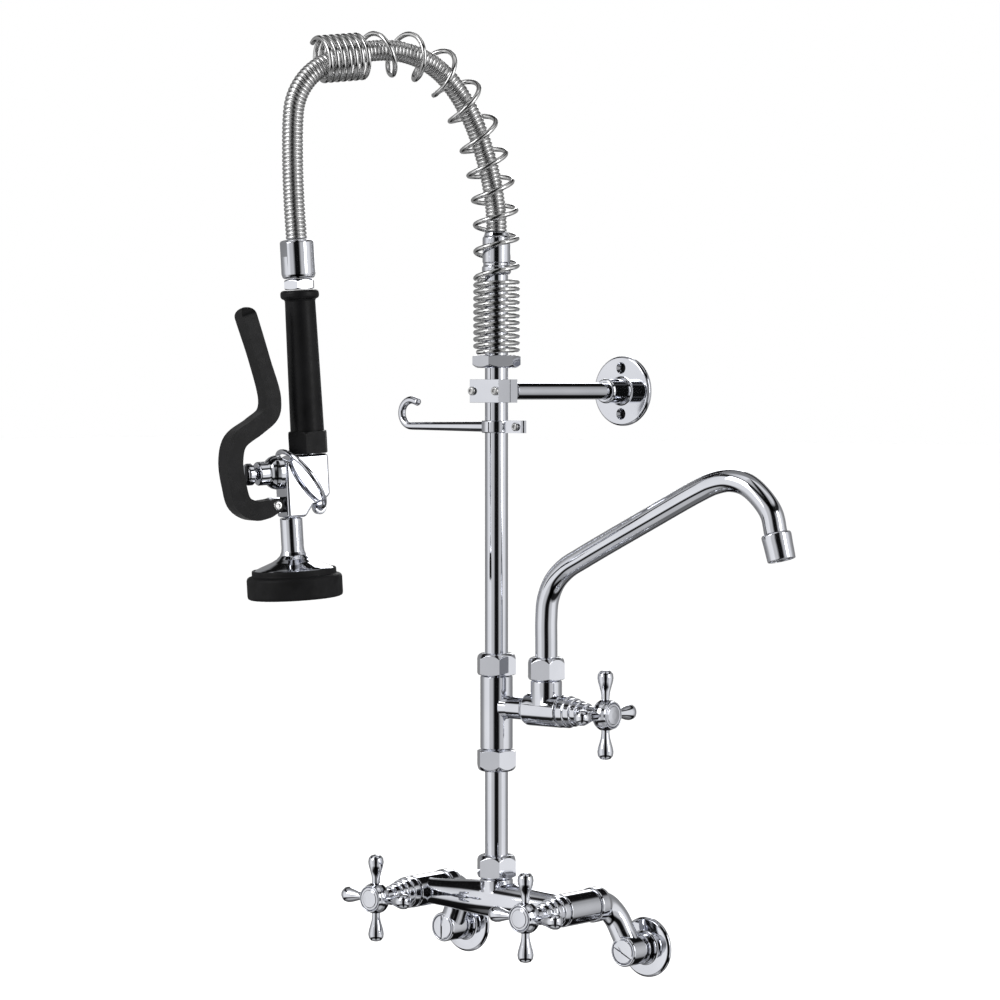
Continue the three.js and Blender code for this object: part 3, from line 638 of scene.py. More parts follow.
def fused(name, shells):
    """One chrome skin made from overlapping closed shells."""
    thing = new_object(name, shells[:1], CHROME)
    for shell in shells[1:]:
        combine(thing, shell, "UNION")
    return thing


def soften(thing, width, segments=3, angle=32):
    """Rounds an object's sharp edges."""
    bevel = thing.modifiers.new("soften", "BEVEL")
    bevel.width = width * MM
    bevel.segments = segments
    bevel.limit_method = "ANGLE"
    bevel.angle_limit = math.radians(angle)
    apply_modifiers(thing)


def finish_piece(thing, body, slot, *nodes):
    """Smooth shading, then the body that the piece rides on and the CAD nodes that it stands for."""
    for polygon in thing.data.polygons:
        polygon.use_smooth = True
    thing.data.set_sharp_from_angle(angle=SHARP_ANGLE)
    weighted = thing.modifiers.new("weighted", "WEIGHTED_NORMAL")
    weighted.keep_sharp = True
    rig.ride(thing, body)
    if nodes:
        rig.replaces(thing, *nodes)
    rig.slot(thing, slot)
    return thing


def turned_piece(name, body, node, profile, place, material=CHROME, slot="chrome", **options):
    """One lathed object that stands for one CAD node."""
    thing = new_object(name, [lathe(profile, place, **options)], material)
    finish_piece(thing, body, slot, node)


# ---------- hose and spring ----------

HOSE_ROUTE = [
    (0, COUPLING_TOP_Z + GAP), (0, 580), (1.2, 594), (4.8, 614), (11.5, 637), (21, 660),
    (33.5, 680.5), (49, 697), (67.5, 707.5), (88, 712.3), (108, 711.8), (127, 708),
    (143, 702.8), (155, 697), (164.7, 689.5), (172.2, 679.8), (176.9, 668.5),
    (178.6, 655), (179, 635), (178.7, 612), (177.6, 588), (GUN_OUT, GUN_Z + GAP),
]

SPRING_ROUTE = [
    (0, SEAT_NUT_Z + SEAT_NUT_HEIGHT + SPRING_WIRE_R + GAP), (0, 520), (0, 560),
    (1, 590), (4.5, 612), (11.5, 637), (21, 660), (33.5, 680.5), (49, 697), (67.5, 707),
    (88, 710.3), (106, 708.6), (122, 706.6), (156, 702.6),
]


def in_arch(route):
    return [Vector((out, 0, z)) for out, z in route]


def rib_radius(length):
    """The radius of an interlocked steel hose: a round rib, then a narrow groove, all the way."""
    ribs = round(length / HOSE_RIB_PITCH)

    def radius(share):
        phase = (share * ribs) % 1
        return HOSE_R - HOSE_RIB_DEPTH * (1 - abs(math.sin(math.pi * phase)) ** 0.45)

    return radius, ribs


def make_hose():
    rough = smooth_path(in_arch(HOSE_ROUTE), 400)
    length = path_length(rough)
    radius, ribs = rib_radius(length)
    path = smooth_path(in_arch(HOSE_ROUTE), ribs * 8)
    hose = new_object("flexible_hose", [sweep(path, radius, ARCH, sides=36)], HOSE_STEEL)
    finish_piece(hose, "hose_arch", "steel", "hose")
    centre = [ARCH @ p * MM for p in path[:: max(1, len(path) // 120)]]
    if (centre[-1] - ARCH @ path[-1] * MM).length > 1e-7:
        centre.append(ARCH @ path[-1] * MM)
    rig.cord(
        hose,
        exit=centre[0],
        length=path_length(centre),
        diameter=2 * HOSE_R * MM,
        far_end="tool",
        stiffness="stiff",
        lay="hanging",
        path=centre,
        with_pieces=[make_hose_ferrule()],
    )


def make_hose_ferrule():
    """The crimped ferrule that ends the hose, with one flat cut on its side."""
    profile = [
        (5.5, -30), (11.4, -30), (12.4, -29), (13.2, -26.5), (13.2, -2.2), (12.4, -0.8),
        (9.2, 0), (9.2, -4), (5.5, -4), (5.5, -30),
    ]
    ferrule = new_object("ferrule", [lathe(profile, GUN)], CHROME)
    carve(ferrule, block(10, 30, 14, GUN @ shift(16.6, 0, -6)))
    return finish_piece(ferrule, "hose_arch", "chrome", "hose_end_ferrule")


def coil_points(route, per_turn):
    """A helix wound round a route: closed turns at both ends and open turns between them."""
    centre = smooth_path(in_arch(route), 1200)
    total = path_length(centre)
    spans = [0]
    for a, b in zip(centre, centre[1:]):
        spans.append(spans[-1] + (b - a).length)
    start_turns = CLOSED_START_LENGTH / CLOSED_PITCH
    end_turns = CLOSED_END_LENGTH / CLOSED_PITCH
    turns = start_turns + OPEN_TURNS + end_turns
    low_end = CLOSED_START_LENGTH + LOW_TURNS * LOW_PITCH
    open_end = total - CLOSED_END_LENGTH
    across = Vector((0, 1, 0))
    points = []
    index = 0
    for k in range(round(turns * per_turn) + 1):
        made = k / per_turn
        if made < start_turns:
            along = made * CLOSED_PITCH
        elif made > start_turns + OPEN_TURNS:
            along = open_end + (made - start_turns - OPEN_TURNS) * CLOSED_PITCH
        elif made < start_turns + LOW_TURNS:
            along = CLOSED_START_LENGTH + (made - start_turns) * LOW_PITCH
        else:
            share = (made - start_turns - LOW_TURNS) / (OPEN_TURNS - LOW_TURNS)
            along = low_end + share * (open_end - low_end)
        along = min(along, total)
        while index < len(centre) - 2 and spans[index + 1] < along:
            index += 1
        share = (along - spans[index]) / (spans[index + 1] - spans[index])
        ahead = (centre[index + 1] - centre[index]).normalized()
        side = across.cross(ahead)
        angle = made * 2 * math.pi
        middle = centre[index].lerp(centre[index + 1], share)
        offset = side * (SPRING_COIL_R * math.cos(angle))
        points.append(middle + offset + across * (SPRING_COIL_R * math.sin(angle)))
    return points


def make_spring():
    path = coil_points(SPRING_ROUTE, 40)
    spring = new_object("overhead_spring", [sweep(path, SPRING_WIRE_R, ARCH, sides=14)], SPRING_STEEL)
    finish_piece(spring, "hose_arch", "steel", "spring")


# ---------- cross-handle valves ----------

BONNET = [
    (7.9, 0.3), (12.2, 0.3), (12.8, 1.5), (12.6, 7), (11.2, 7.6), (11.2, 12.7),
    (9.6, 13.3), (9.6, 18), (8, 18.6), (8, 24.5), (5.9, 25.3), (5.9, 33), (4.7, 33),
    (4.7, 12), (7.9, 12), (7.9, 0.3),
]

HUB = [
    (0, HUB_BACK), (6.4, HUB_BACK), (7.4, HUB_BACK + 0.6), (8.4, HUB_BACK + 1.6),
    (11.2, HUB_BACK + 4.2), (12.4, SPOKE_PLANE - 2), (12.5, SPOKE_PLANE + 1.5),
    (11.9, 46.3), (10.8, 48.6), (10.6, HUB_FRONT), (9.7, HUB_FRONT),
    (9.7, HUB_FRONT - 1.4), (0, HUB_FRONT - 1.4),
]

SPOKE = [
    (0, 6), (3.7, 6), (3.3, 10), (3.15, 14), (3.6, 18), (4.7, 22), (5.8, 25.8),
    (6.3, 29), (5.9, 32), (4.2, 34.2), (2, 34.9), (0, HANDLE_SPAN_R),
]

CAP = [
    (0, HUB_FRONT - 1.3), (9.3, HUB_FRONT - 1.3), (9.3, HUB_FRONT - 0.2),
    (8.6, HUB_FRONT + 0.2), (7.4, HUB_FRONT), (6.9, HUB_FRONT + 0.5),
    (3, HUB_FRONT + 0.85), (0, HUB_FRONT + 0.9),
]


def make_valve_trim(name, knob, place):
    turned_piece(f"{name}_stepped_bonnet", "frame", f"{name}_bonnet", BONNET, place)
    shells = [lathe(HUB, place)]
    for quarter in range(4):
        spoke = place @ shift(0, 0, SPOKE_PLANE) @ turn(90 * quarter, "Z") @ FACE_RIGHT
        shells.append(lathe(SPOKE, spoke, radius=0, facets=40))
    handle = fused(f"{name}_cross_handle", shells)
    finish_piece(handle, knob, "chrome", f"{name}_handle")
    turned_piece(f"{name}_button", knob, f"{name}_index_cap", CAP, place)


# ---------- mixer body and inlet arms ----------


def make_mixer():
    half = VALVE_HALF_SPACING
    bridge = [
        (0, -half), (10.4, -half), (10.5, -66), (11.2, -54), (12.1, -42), (13.2, -30),
        (14, -18), (14.4, -8), (14.4, 8), (14, 18), (13.2, 30), (12.1, 42), (11.2, 54),
        (10.5, 66), (10.4, half), (0, half),
    ]
    shells = [lathe(bridge, shift(0, RISER_Y, VALVE_Z) @ FACE_RIGHT, radius=0, facets=FINE_FACETS)]
    boss = [
        (0, VALVE_Z), (13.2, VALVE_Z), (13.2, BASE_NUT_Z - 2), (12, BASE_NUT_Z - 0.6),
        (12, BASE_NUT_Z + 6), (0, BASE_NUT_Z + 6),
    ]
    shells.append(lathe(boss, RISER))
    length = VALVE_BACK_Y - VALVE_FRONT_Y
    for side in (-1, 1):
        place = shift(side * half, VALVE_FRONT_Y, VALVE_Z) @ FACE_FRONT
        barrel = [
            (0, -length - 6), (9, -length - 6), (9, -length + 0.4),
            (12.2, -length + 0.4), (VALVE_R, -length + 1.4), (VALVE_R, -1), (12, 0),
            (0, 0),
        ]
        shells.append(lathe(barrel, place))
    mixer = fused("mixer_casting", shells)
    finish_piece(mixer, "frame", "chrome", "mixer_body")


def make_inlet_side(side, name):
    top_x = side * VALVE_HALF_SPACING
    foot_x = side * INLET_HALF_SPACING
    body = f"{name}_arm"
    collar_place = shift(top_x, VALVE_BACK_Y + GAP, VALVE_Z) @ FACE_FRONT
    collar = [(0, -14), (11, -14), (13.2, -12.5), (14, -9), (14, -1.4), (13, 0), (0, 0)]
    elbow_points = [
        (top_x, VALVE_BACK_Y + 9, VALVE_Z),
        (top_x + side * 0.6, VALVE_BACK_Y + 20, VALVE_Z - 2.5),
        (top_x + side * 4.5, VALVE_BACK_Y + 28, VALVE_Z - 12),
        (top_x + side * 10.5, VALVE_BACK_Y + 30.5, VALVE_Z - 25),
        (foot_x, VALVE_BACK_Y + 31, 1),
    ]
    elbow = sweep(smooth_path(elbow_points, 40), ELBOW_R, WHOLE, sides=48)
    foot = shift(foot_x, STOP_FACE_Y, 0) @ FACE_FRONT
    boss = [(0, -20), (11, -20), (12.2, -18), (12.2, -1.2), (11.4, 0), (10.3, 0), (10.3, -4.2), (0, -4.2)]
    nipple = [(0, -24.6), (8.2, -24.6), (8.2, -18), (0, -18)]
    shells = [lathe(collar, collar_place), elbow, lathe(boss, foot), lathe(nipple, foot)]
    arm = fused(f"{name}_inlet_elbow", shells)
    carve(arm, lathe([(0, -8.6), (9.3, -8.6), (9.3, 1), (0, 1)], collar_place, 0))
    finish_piece(arm, body, "chrome", f"{name}_inlet_arm")
    screw_place = shift(foot_x, STOP_FACE_Y, 0) @ turn(STOP_SLOT_TURNS[name], "Y") @ FACE_FRONT
    head = [(0, -4), (10, -4), (10, -0.6), (9.2, 0.1), (5, 0.35), (0, 0.4)]
    screw = new_object(f"{name}_stop_valve_screw", [lathe(head, screw_place)], CHROME)
    carve(screw, block(22, 1.8, 3, screw_place @ shift(0, 0, 0.3) @ turn(90, "X")))
    finish_piece(screw, f"{name}_stop", "chrome", f"{name}_stop_screw")
    flange = [
        (INLET_BORE_R, 0), (WALL_FLANGE_R - 0.6, 0), (WALL_FLANGE_R, 0.8),
        (WALL_FLANGE_R, 2.4), (WALL_FLANGE_R - 1.6, 4), (18, 4.7), (14, 5), (12.8, 5.8),
        (12.4, 8), (12.4, 12.9), (8.5, 12.9), (8.5, 7), (INLET_BORE_R, 7),
        (INLET_BORE_R, 0),
    ]
    place = shift(foot_x, 0, 0) @ FACE_FRONT
    turned_piece(f"{name}_escutcheon", body, f"{name}_wall_flange", flange, place, facets=FINE_FACETS)


# ---------- riser, tee and nuts ----------


def nut_profile(flats, height, bore, foot=1.2, head=4.6):
    """A hexagon nut's revolved envelope: slightly larger than its corners, chamfered at both ends."""
    corner = flats / math.sqrt(3)
    return [
        (bore, 0),
        (flats / 2 - 0.6, 0),
        (corner, foot),
        (corner, height - head),
        (flats / 2 - 0.4, height - head * 0.22),
        (flats / 2 - 2.2, height),
        (bore, height),
        (bore, 0),
    ]


def make_nut(name, node, z, flats, height, inner, place, body="frame", upside_down=False, **ends):
    """A hexagon nut round a tube or thread of radius `inner`, with its own gap to it."""
    where = place @ shift(0, 0, z + height) @ turn(180, "X") if upside_down else place @ shift(0, 0, z)
    profile = nut_profile(flats, height, inner + GAP, **ends)
    turned_piece(name, body, node, profile, where, flats=flats, facets=144, radius=0.35)


def tube_profile(outer, inner, low, high):
    return [(inner, low), (outer, low), (outer, high), (inner, high), (inner, low)]


def make_riser():
    place = RISER @ turn(NUT_TURN, "Z")
    low_z, head_z, tall = LOWER_TEE_NUT_Z, UPPER_TEE_NUT_Z, TEE_NUT_HEIGHT
    make_nut("base_nut", "riser_base_nut", BASE_NUT_Z, NUT_FLATS, BASE_NUT_HEIGHT, RISER_R, place)
    make_nut("tee_foot_nut", "lower_tee_nut", low_z, NUT_FLATS, tall, RISER_R, place, upside_down=True)
    make_nut("tee_head_nut", "upper_tee_nut", head_z, NUT_FLATS, tall + 0.6, RISER_R, place)
    make_nut(
        "seat_nut", "spring_seat_nut", SEAT_NUT_Z, SEAT_NUT_FLATS, SEAT_NUT_HEIGHT, RISER_R,
        RISER @ turn(SEAT_NUT_TURN, "Z"), upside_down=True, foot=1, head=2.6,
    )
    lower = tube_profile(RISER_R, RISER_BORE_R, BASE_NUT_Z + NUT_THREAD, low_z + tall - NUT_THREAD)
    turned_piece("lower_riser", "frame", "lower_riser_tube", lower, RISER, facets=FINE_FACETS)
    upper = tube_profile(RISER_R, RISER_BORE_R, head_z + 8, COUPLING_Z - GAP)
    turned_piece("upper_riser", "frame", "upper_riser_tube", upper, RISER, facets=FINE_FACETS)
    coupling = [
        (6, 0), (10.2, 0), (11.6, 1.6), (11.6, 6), (10.6, 7), (10.6, 9), (11.2, 9.6),
        (11.2, 29), (10.2, 30.4), (9.2, 33.5), (6, 33.5), (6, 0),
    ]
    turned_piece("coupling", "frame", "hose_top_coupling", coupling, RISER @ shift(0, 0, COUPLING_Z))


def make_tee():
    foot = LOWER_TEE_NUT_Z + TEE_NUT_HEIGHT + GAP
    head = UPPER_TEE_NUT_Z - GAP
    barrel = [
        (8, foot - 7), (11.9, foot - 7), (11.9, foot), (12.2, foot),
        (TEE_R, foot + 1.2), (TEE_R, head - 1.2), (12.2, head), (11.9, head),
        (11.9, head + 7), (8, head + 7), (8, foot - 7),
    ]
    branch_place = RISER @ shift(0, 0, SPOUT_VALVE_Z)
    back, front = SPOUT_VALVE_BACK_X, SPOUT_VALVE_FRONT_X
    branch = [(0, 9), (10, 9), (9, 16), (9, back - 2), (10, back + 2), (0, back + 2)]
    valve = [
        (0, back), (9.5, back), (12, back + 1.2), (VALVE_R, back + 3.4),
        (VALVE_R, front - 1), (12, front), (0, front),
    ]
    rise = SPOUT_NUT_Z - SPOUT_VALVE_Z
    outlet = [
        (0, 4), (12.4, 4), (12.4, rise - 1.4), (11.4, rise - 0.4), (11, rise - 0.4),
        (11, rise + 7), (0, rise + 7),
    ]
    shells = [
        lathe(barrel, RISER, facets=FINE_FACETS),
        lathe(branch, branch_place @ FACE_RIGHT),
        lathe(valve, branch_place @ FACE_RIGHT),
        lathe(outlet, branch_place @ shift(SPOUT_X, 0, 0)),
    ]
    tee = fused("tee_casting", shells)
    finish_piece(tee, "frame", "chrome", "tee_body")


# ---------- spout ----------

SPOUT_ROUTE = [
    (0, 226.5), (0, 245), (0, 266), (1.6, 281), (8, 295), (19.5, 306), (38, 316),
    (100, 346.5), (150, 370.5), (164, 376), (179, 378.5), (194, 375.5), (207, 366.5),
    (217.2, 354), (221, 340),
]


def make_spout():
    place = RISER @ shift(SPOUT_X, 0, 0)
    path = smooth_path([(x, 0, z) for x, z in SPOUT_ROUTE], 180)
    spout = new_object("swing_spout", [sweep(path, SPOUT_R, place, sides=56)], CHROME)
    finish_piece(spout, "spout", "chrome", "spout_tube")
    seal = [(9.2, 231.4), (10.9, 231.4), (10.9, 232.6), (9.2, 232.6), (9.2, 231.4)]
    turned_piece("spout_o_ring", "spout", "spout_seal_ring", seal, place, RUBBER, "rubber", radius=0.5)
    make_nut(
        "spout_base_nut", "spout_nut", SPOUT_NUT_Z, SPOUT_NUT_FLATS, SPOUT_NUT_HEIGHT, SPOUT_R,
        place @ turn(NUT_TURN, "Z"),
    )
    end = Vector(SPOUT_ROUTE[-1])
    down = (end - Vector(SPOUT_ROUTE[-2])).normalized()
    tip = place @ shift(end.x + down.x * GAP, 0, end.y + down.y * GAP)
    tip = tip @ Matrix.Rotation(-math.asin(down.x), 4, "Y")
    housing = [
        (8.8, -21), (10.2, -21), (10.7, -20.4), (10.9, -16.5), (11.1, -9), (11.4, -4),
        (11.4, -1.4), (10.6, -0.3), (8.9, 0), (7, 0), (7, -5.2), (8.8, -5.2),
        (8.8, -21),
    ]
    turned_piece("aerator_shell", "spout", "aerator_housing", housing, tip)
    insert = [
        (0, -17.6), (1.6, -17.6), (2.2, -18.8), (3.2, -18.8), (3.8, -17.6), (5, -17.6),
        (5.6, -18.8), (6.6, -18.8), (7.1, -17.8), (7.6, -19.4), (8.6, -19.4), (8.6, -6),
        (0, -6),
    ]
    turned_piece("aerator_screen", "spout", "aerator_insert", insert, tip, SCREW_STEEL, "steel", radius=0.2)


# ---------- hook ----------


def make_screw(name, body, node, profile, place):
    turned_piece(name, body, node, profile, place, SCREW_STEEL, "steel", radius=0.25, facets=48)


def hook_radius(share):
    """The hook's wire thins from its clamp to the curl, and its tip is round."""
    taper = 4.3 - 1.2 * min(1, share / 0.66)
    tip = max(0, (share - 0.985) / 0.015)
    return taper * math.sqrt(max(0.04, 1 - tip**2))


def make_hook():
    angles = [math.radians(-90 - 10 * i) for i in range(21)]
    centre_z = HOOK_Z + HOOK_CURL_R
    line = [(-8, 0, HOOK_Z), (-30, 0, HOOK_Z), (-60, 0, HOOK_Z), (-80, 0, HOOK_Z)]
    curl_r = HOOK_CURL_R
    line += [(HOOK_CURL_X + curl_r * math.cos(a), 0, centre_z + curl_r * math.sin(a)) for a in angles]
    line.append((HOOK_CURL_X + 8.6, 0, centre_z + curl_r - 2.4))
    place = RISER @ shift(0, 0, HOOK_Z)
    hook = new_object("finger_hook", [sweep(smooth_path(line, 160), hook_radius, RISER, sides=32)], CHROME)
    solid_band = lathe([(0, -5), (11.4, -5), (12, -4.2), (12, 4.2), (11.4, 5), (0, 5)], place)
    ears = block(18, 7, 10, place @ shift(19, 0, 0))
    clamp = fused("hook_clamp", [solid_band, ears])
    carve(
        clamp,
        block(24, 1.6, 12, place @ shift(20, 0, 0)),
        lathe([(0, -8), (RISER_R + GAP, -8), (RISER_R + GAP, 8), (0, 8)], place, 0, FINE_FACETS),
    )
    soften(clamp, 0.5, 2)
    finish_piece(hook, "hook", "chrome", "hook_finger")
    finish_piece(clamp, "hook", "chrome")
    screw = [
        (0, -5.2), (1.9, -5.2), (1.9, 3.9), (3.4, 3.9), (3.4, 5), (2.6, 6), (1.4, 6),
        (1.4, 4.8), (0, 4.8),
    ]
    screw_place = place @ shift(HOOK_SCREW_X, 0, 0) @ FACE_FRONT
    make_screw("hook_screw", "hook", "hook_clamp_screw", screw, screw_place)


# ---------- wall bracket ----------


def make_bracket():
    bore = lathe([(0, -20), (RISER_R + GAP, -20), (RISER_R + GAP, 20), (0, 20)], BRACKET, 0, FINE_FACETS)
    cap = new_object("clamp_front", [block(30, 14.5, CLAMP_HEIGHT, BRACKET @ shift(0, -8.25, 0))], CHROME)
    carve(cap, bore)
    soften(cap, 0.9)
    finish_piece(cap, "frame", "chrome", "bracket_clamp_cap")
    rear = block(30, 8.5, CLAMP_HEIGHT, BRACKET @ shift(0, 3.75, 0))
    neck = [(0, 4), (9.3, 4), (9.3, 10), (8.9, 11.4), (7.6, 17), (7, 19.4), (6.4, 20), (0, 20)]
    clamp = fused("clamp_rear", [rear, lathe(neck, BRACKET @ FACE_BACK)])
    carve(clamp, bore)
    soften(clamp, 0.7, 2)
    finish_piece(clamp, "frame", "chrome", "bracket_clamp_body")
    head = [
        (0, -11), (1.9, -11), (1.9, 0.1), (3.5, 0.1), (3.5, 1), (2.9, 2.1), (1.5, 2.3),
        (1.5, 1.2), (0, 1.2),
    ]
    for name, x in (("bracket_screw_left", -CLAMP_SCREW_X), ("bracket_screw_right", CLAMP_SCREW_X)):
        place = BRACKET @ shift(x, -15.8, 0) @ FACE_FRONT
        make_screw(f"{name}_head", "frame", name, head, place)
    tube = tube_profile(7, 5.6, 20.3, BRACKET_DEPTH - 12)
    turned_piece("bracket_arm", "frame", "bracket_tube", tube, BRACKET @ FACE_BACK)
    flange = [
        (0, -4.6), (BRACKET_FLANGE_R - 0.6, -4.6), (BRACKET_FLANGE_R, -4),
        (BRACKET_FLANGE_R, -1.6), (BRACKET_FLANGE_R - 1.2, -0.2), (27, 0), (12.6, 0),
        (11, 0.8), (10.4, 2.4), (10.4, 20.6), (9.8, 22), (8.8, 22.6), (0, 22.6),
    ]
    plate = new_object("bracket_rose", [lathe(flange, BRACKET_WALL, facets=FINE_FACETS)], CHROME)
    ways = []
    for side in (-1, 1):
        way = [(0, -7), (2.75, -7), (2.75, -2.6), (4.9, 0.05), (4.9, 2), (0, 2)]
        ways.append(lathe(way, BRACKET_WALL @ shift(0, side * BRACKET_SCREW_CIRCLE_R, 0), 0, 48))
    socket = lathe([(0, 11.6), (7.3, 11.6), (7.3, 26), (0, 26)], BRACKET_WALL, 0)
    carve(plate, *ways, socket)
    finish_piece(plate, "frame", "chrome", "bracket_flange")
    # A rubber ring behind the flange, with no screw holes of its own: its near-black rubber, seen through the flange's
    # screw holes, is painted shade that makes them read dark.
    gasket = tube_profile(27.5, 8, -6.4, -4.9)
    turned_piece(
        "flange_gasket", "frame", "bracket_gasket", gasket, BRACKET_WALL, RUBBER, "rubber", facets=FINE_FACETS
    )


# ---------- spray gun ----------

LEVER_WIDTH = 16
LEVER_LINE = [
    (*LEVER_PIVOT, 5.6), (41, -206, 7), (50.5, -206.4, 7.6), (60.5, -200.5, 7.2),
    (64.5, -186, 7), (66, -167, 7), (61.5, -152.5, 7), (44.6, -141.6, 6.8),
    (33, -133, 6.6), (30.5, -122, 6.2), (37.3, -90.8, 5.6), (46.8, -56, 6),
]


def half_round(centre_x, centre_z, radius, beside):
    """Nine points round the end of a strip, clockwise from a point beside its centre."""
    start = math.atan2(beside[1] - centre_z, beside[0] - centre_x)
    angles = [start - math.pi * i / 10 for i in range(1, 10)]
    return [(centre_x + radius * math.cos(angle), centre_z + radius * math.sin(angle)) for angle in angles]


def lever_outline():
    """A strip along the lever's line, of its own half width at each point, with round ends."""
    steps = 90
    centre = smooth_path([(x, z, 0) for x, z, _ in LEVER_LINE], steps)
    total = path_length([Vector((x, z, 0)) for x, z, _ in LEVER_LINE])
    stations = []
    travelled = 0
    previous = Vector((*LEVER_PIVOT, 0))
    for x, z, half in LEVER_LINE:
        here = Vector((x, z, 0))
        travelled += (here - previous).length
        previous = here
        stations.append((travelled / total, half))
    near = []
    far = []
    for i, point in enumerate(centre):
        ahead = (centre[min(i + 1, steps)] - centre[max(i - 1, 0)]).normalized()
        share = i / steps
        after = 1
        while after < len(stations) - 1 and stations[after][0] < share - 1e-9:
            after += 1
        (s0, h0), (s1, h1) = stations[after - 1], stations[after]
        t = (share - s0) / (s1 - s0)
        t = t * t * (3 - 2 * t)
        half = h0 + (h1 - h0) * t
        near.append((point.x - ahead.y * half, point.y + ahead.x * half))
        far.append((point.x + ahead.y * half, point.y - ahead.x * half))
    tip = half_round(*LEVER_LINE[-1], near[-1])
    eye = half_round(*LEVER_LINE[0], far[0])
    return near + tip + far[::-1] + eye


def lever_tip_cutter():
    """What lies outside the lever's round tip, seen square to the flat of the lever."""
    (below_x, below_z, _), (tip_x, tip_z, tip_half) = LEVER_LINE[-2:]
    lean = math.degrees(math.atan2(tip_x - below_x, tip_z - below_z))
    radius = LEVER_WIDTH / 2
    arc_z = tip_half - radius
    past = radius + 2
    outline = [(past, arc_z - 0.1), (past, tip_half + 2), (-past, tip_half + 2), (-past, arc_z - 0.1)]
    for i in range(25):
        angle = math.pi - math.pi * i / 24
        outline.append((radius * 1.001 * math.cos(angle), arc_z + radius * math.sin(angle)))
    place = GUN @ shift(tip_x, 0, tip_z) @ turn(lean, "Y") @ turn(90, "Z")
    return slab(outline, 30, place)


def make_lever():
    pivot_x, pivot_z = LEVER_PIVOT
    across = GUN @ shift(pivot_x, 0, pivot_z) @ FACE_FRONT
    lever = new_object("squeeze_handle", [slab(lever_outline(), LEVER_WIDTH, GUN)], LEVER_PLASTIC)
    carve(
        lever,
        lever_tip_cutter(),
        block(16, 6, 20, GUN @ shift(pivot_x - 1, 0, pivot_z)),
        lathe([(0, -12), (2.2, -12), (2.2, 12), (0, 12)], across, 0, 32),
    )
    soften(lever, 3, 4, 50)
    finish_piece(lever, "lever", "plastic", "squeeze_lever")
    head = [(0, 7.9), (3.6, 7.9), (3.6, 8.8), (2.9, 9.5), (1.4, 9.6), (1.4, 8.8), (0, 8.8)]
    shank = [(0, -9), (2, -9), (2, 8.4), (0, 8.4)]
    collar = [(0, -8.6), (3.4, -8.6), (3.4, -8.1), (0, -8.1)]
    place = across @ turn(180, "X")
    shells = [lathe(profile, place, 0.25, 40) for profile in (head, shank, collar)]
    pin = new_object("lever_pivot_pin", shells, SCREW_STEEL)
    finish_piece(pin, "spray_gun", "steel", "lever_pin")


def make_grip():
    profile = [
        (6.9, -149.6), (12.9, -149.6), (13.1, -148.4), (12.9, -130), (12.4, -90),
        (12, -60), (11.8, -47.4), (12.4, -46.2), (14.2, -45.4), (15, -44), (15, -41),
        (14.2, -39.6), (12.6, -39), (6.9, -39), (6.9, -149.6),
    ]
    collar = [
        (6.9, -165.5), (16, -165.5), (16.5, -164.9), (16.5, -149.9), (15.4, -148.5),
        (12.6, -147.8), (6.9, -147.8), (6.9, -165.5),
    ]
    shells = [lathe(profile, GUN, 0.6), lathe(collar, GUN @ turn(30, "Z"), 0.5, FINE_FACETS, flats=28.6)]
    grip = new_object("gun_grip", shells, GRIP_PLASTIC)
    finish_piece(grip, "spray_gun", "plastic", "grip")


def make_gun_body():
    outline = [
        (-12, -166.1), (16, -166.1), (25, -171), (25, -214), (9.6, -214), (3.4, -205.5),
        (-6, -203), (-12, -198),
    ]
    casting = new_object("gun_block", [slab(outline, 22, GUN)], CHROME)
    soften(casting, 2.4, 4, 25)
    ring_x, ring_z = RING_PIVOT
    pivot_x, pivot_z = LEVER_PIVOT
    lug_place = GUN @ shift(ring_x, 0, ring_z) @ FACE_FRONT
    extras = [
        lathe([(0, -197), (6.5, -197), (6.5, -39.6), (0, -39.6)], GUN),
        lathe([(0, -3), (4.6, -3), (5.2, -2.2), (5.2, 2.2), (4.6, 3), (0, 3)], lug_place),
        block(8, 5.6, 6, GUN @ shift(ring_x + 4, 0, ring_z + 4)),
        block(13, 5.2, 12, GUN @ shift(pivot_x - 2.3, 0, pivot_z)),
    ]
    rest = new_object("gun_block_details", extras, CHROME)
    carve(rest, lathe([(0, -10), (2.7, -10), (2.7, 10), (0, 10)], lug_place, 0, 40))
    finish_piece(casting, "spray_gun", "chrome", "gun_body")
    finish_piece(rest, "spray_gun", "chrome")
    bonnet = [
        (8, 25.3), (12.6, 25.3), (13.2, 25.9), (13.2, 29.6), (12.4, 32.4), (10.8, 34.8),
        (9.4, 36.2), (9.2, 37.4), (9.2, 44.2), (8.4, 45), (4.7, 45), (4.7, 31), (8, 31),
        (8, 25.3),
    ]
    turned_piece("gun_valve_bonnet", "spray_gun", "gun_bonnet", bonnet, STEM)
    stem = [
        (0, 21), (7.2, 21), (7.2, 23), (4.2, 23), (4.2, 49), (8.1, 49), (8.5, 49.8),
        (8.5, 53.2), (7.6, 54.5), (6, 55), (0, 55),
    ]
    turned_piece("push_stem", "stem", "valve_stem", stem, STEM)
    place = GUN @ turn(30, "Z")
    make_nut("swivel_nut", "hose_end_nut", -38.5, 22, 8.2, 6.2, place, "hose_arch", foot=1, head=2)


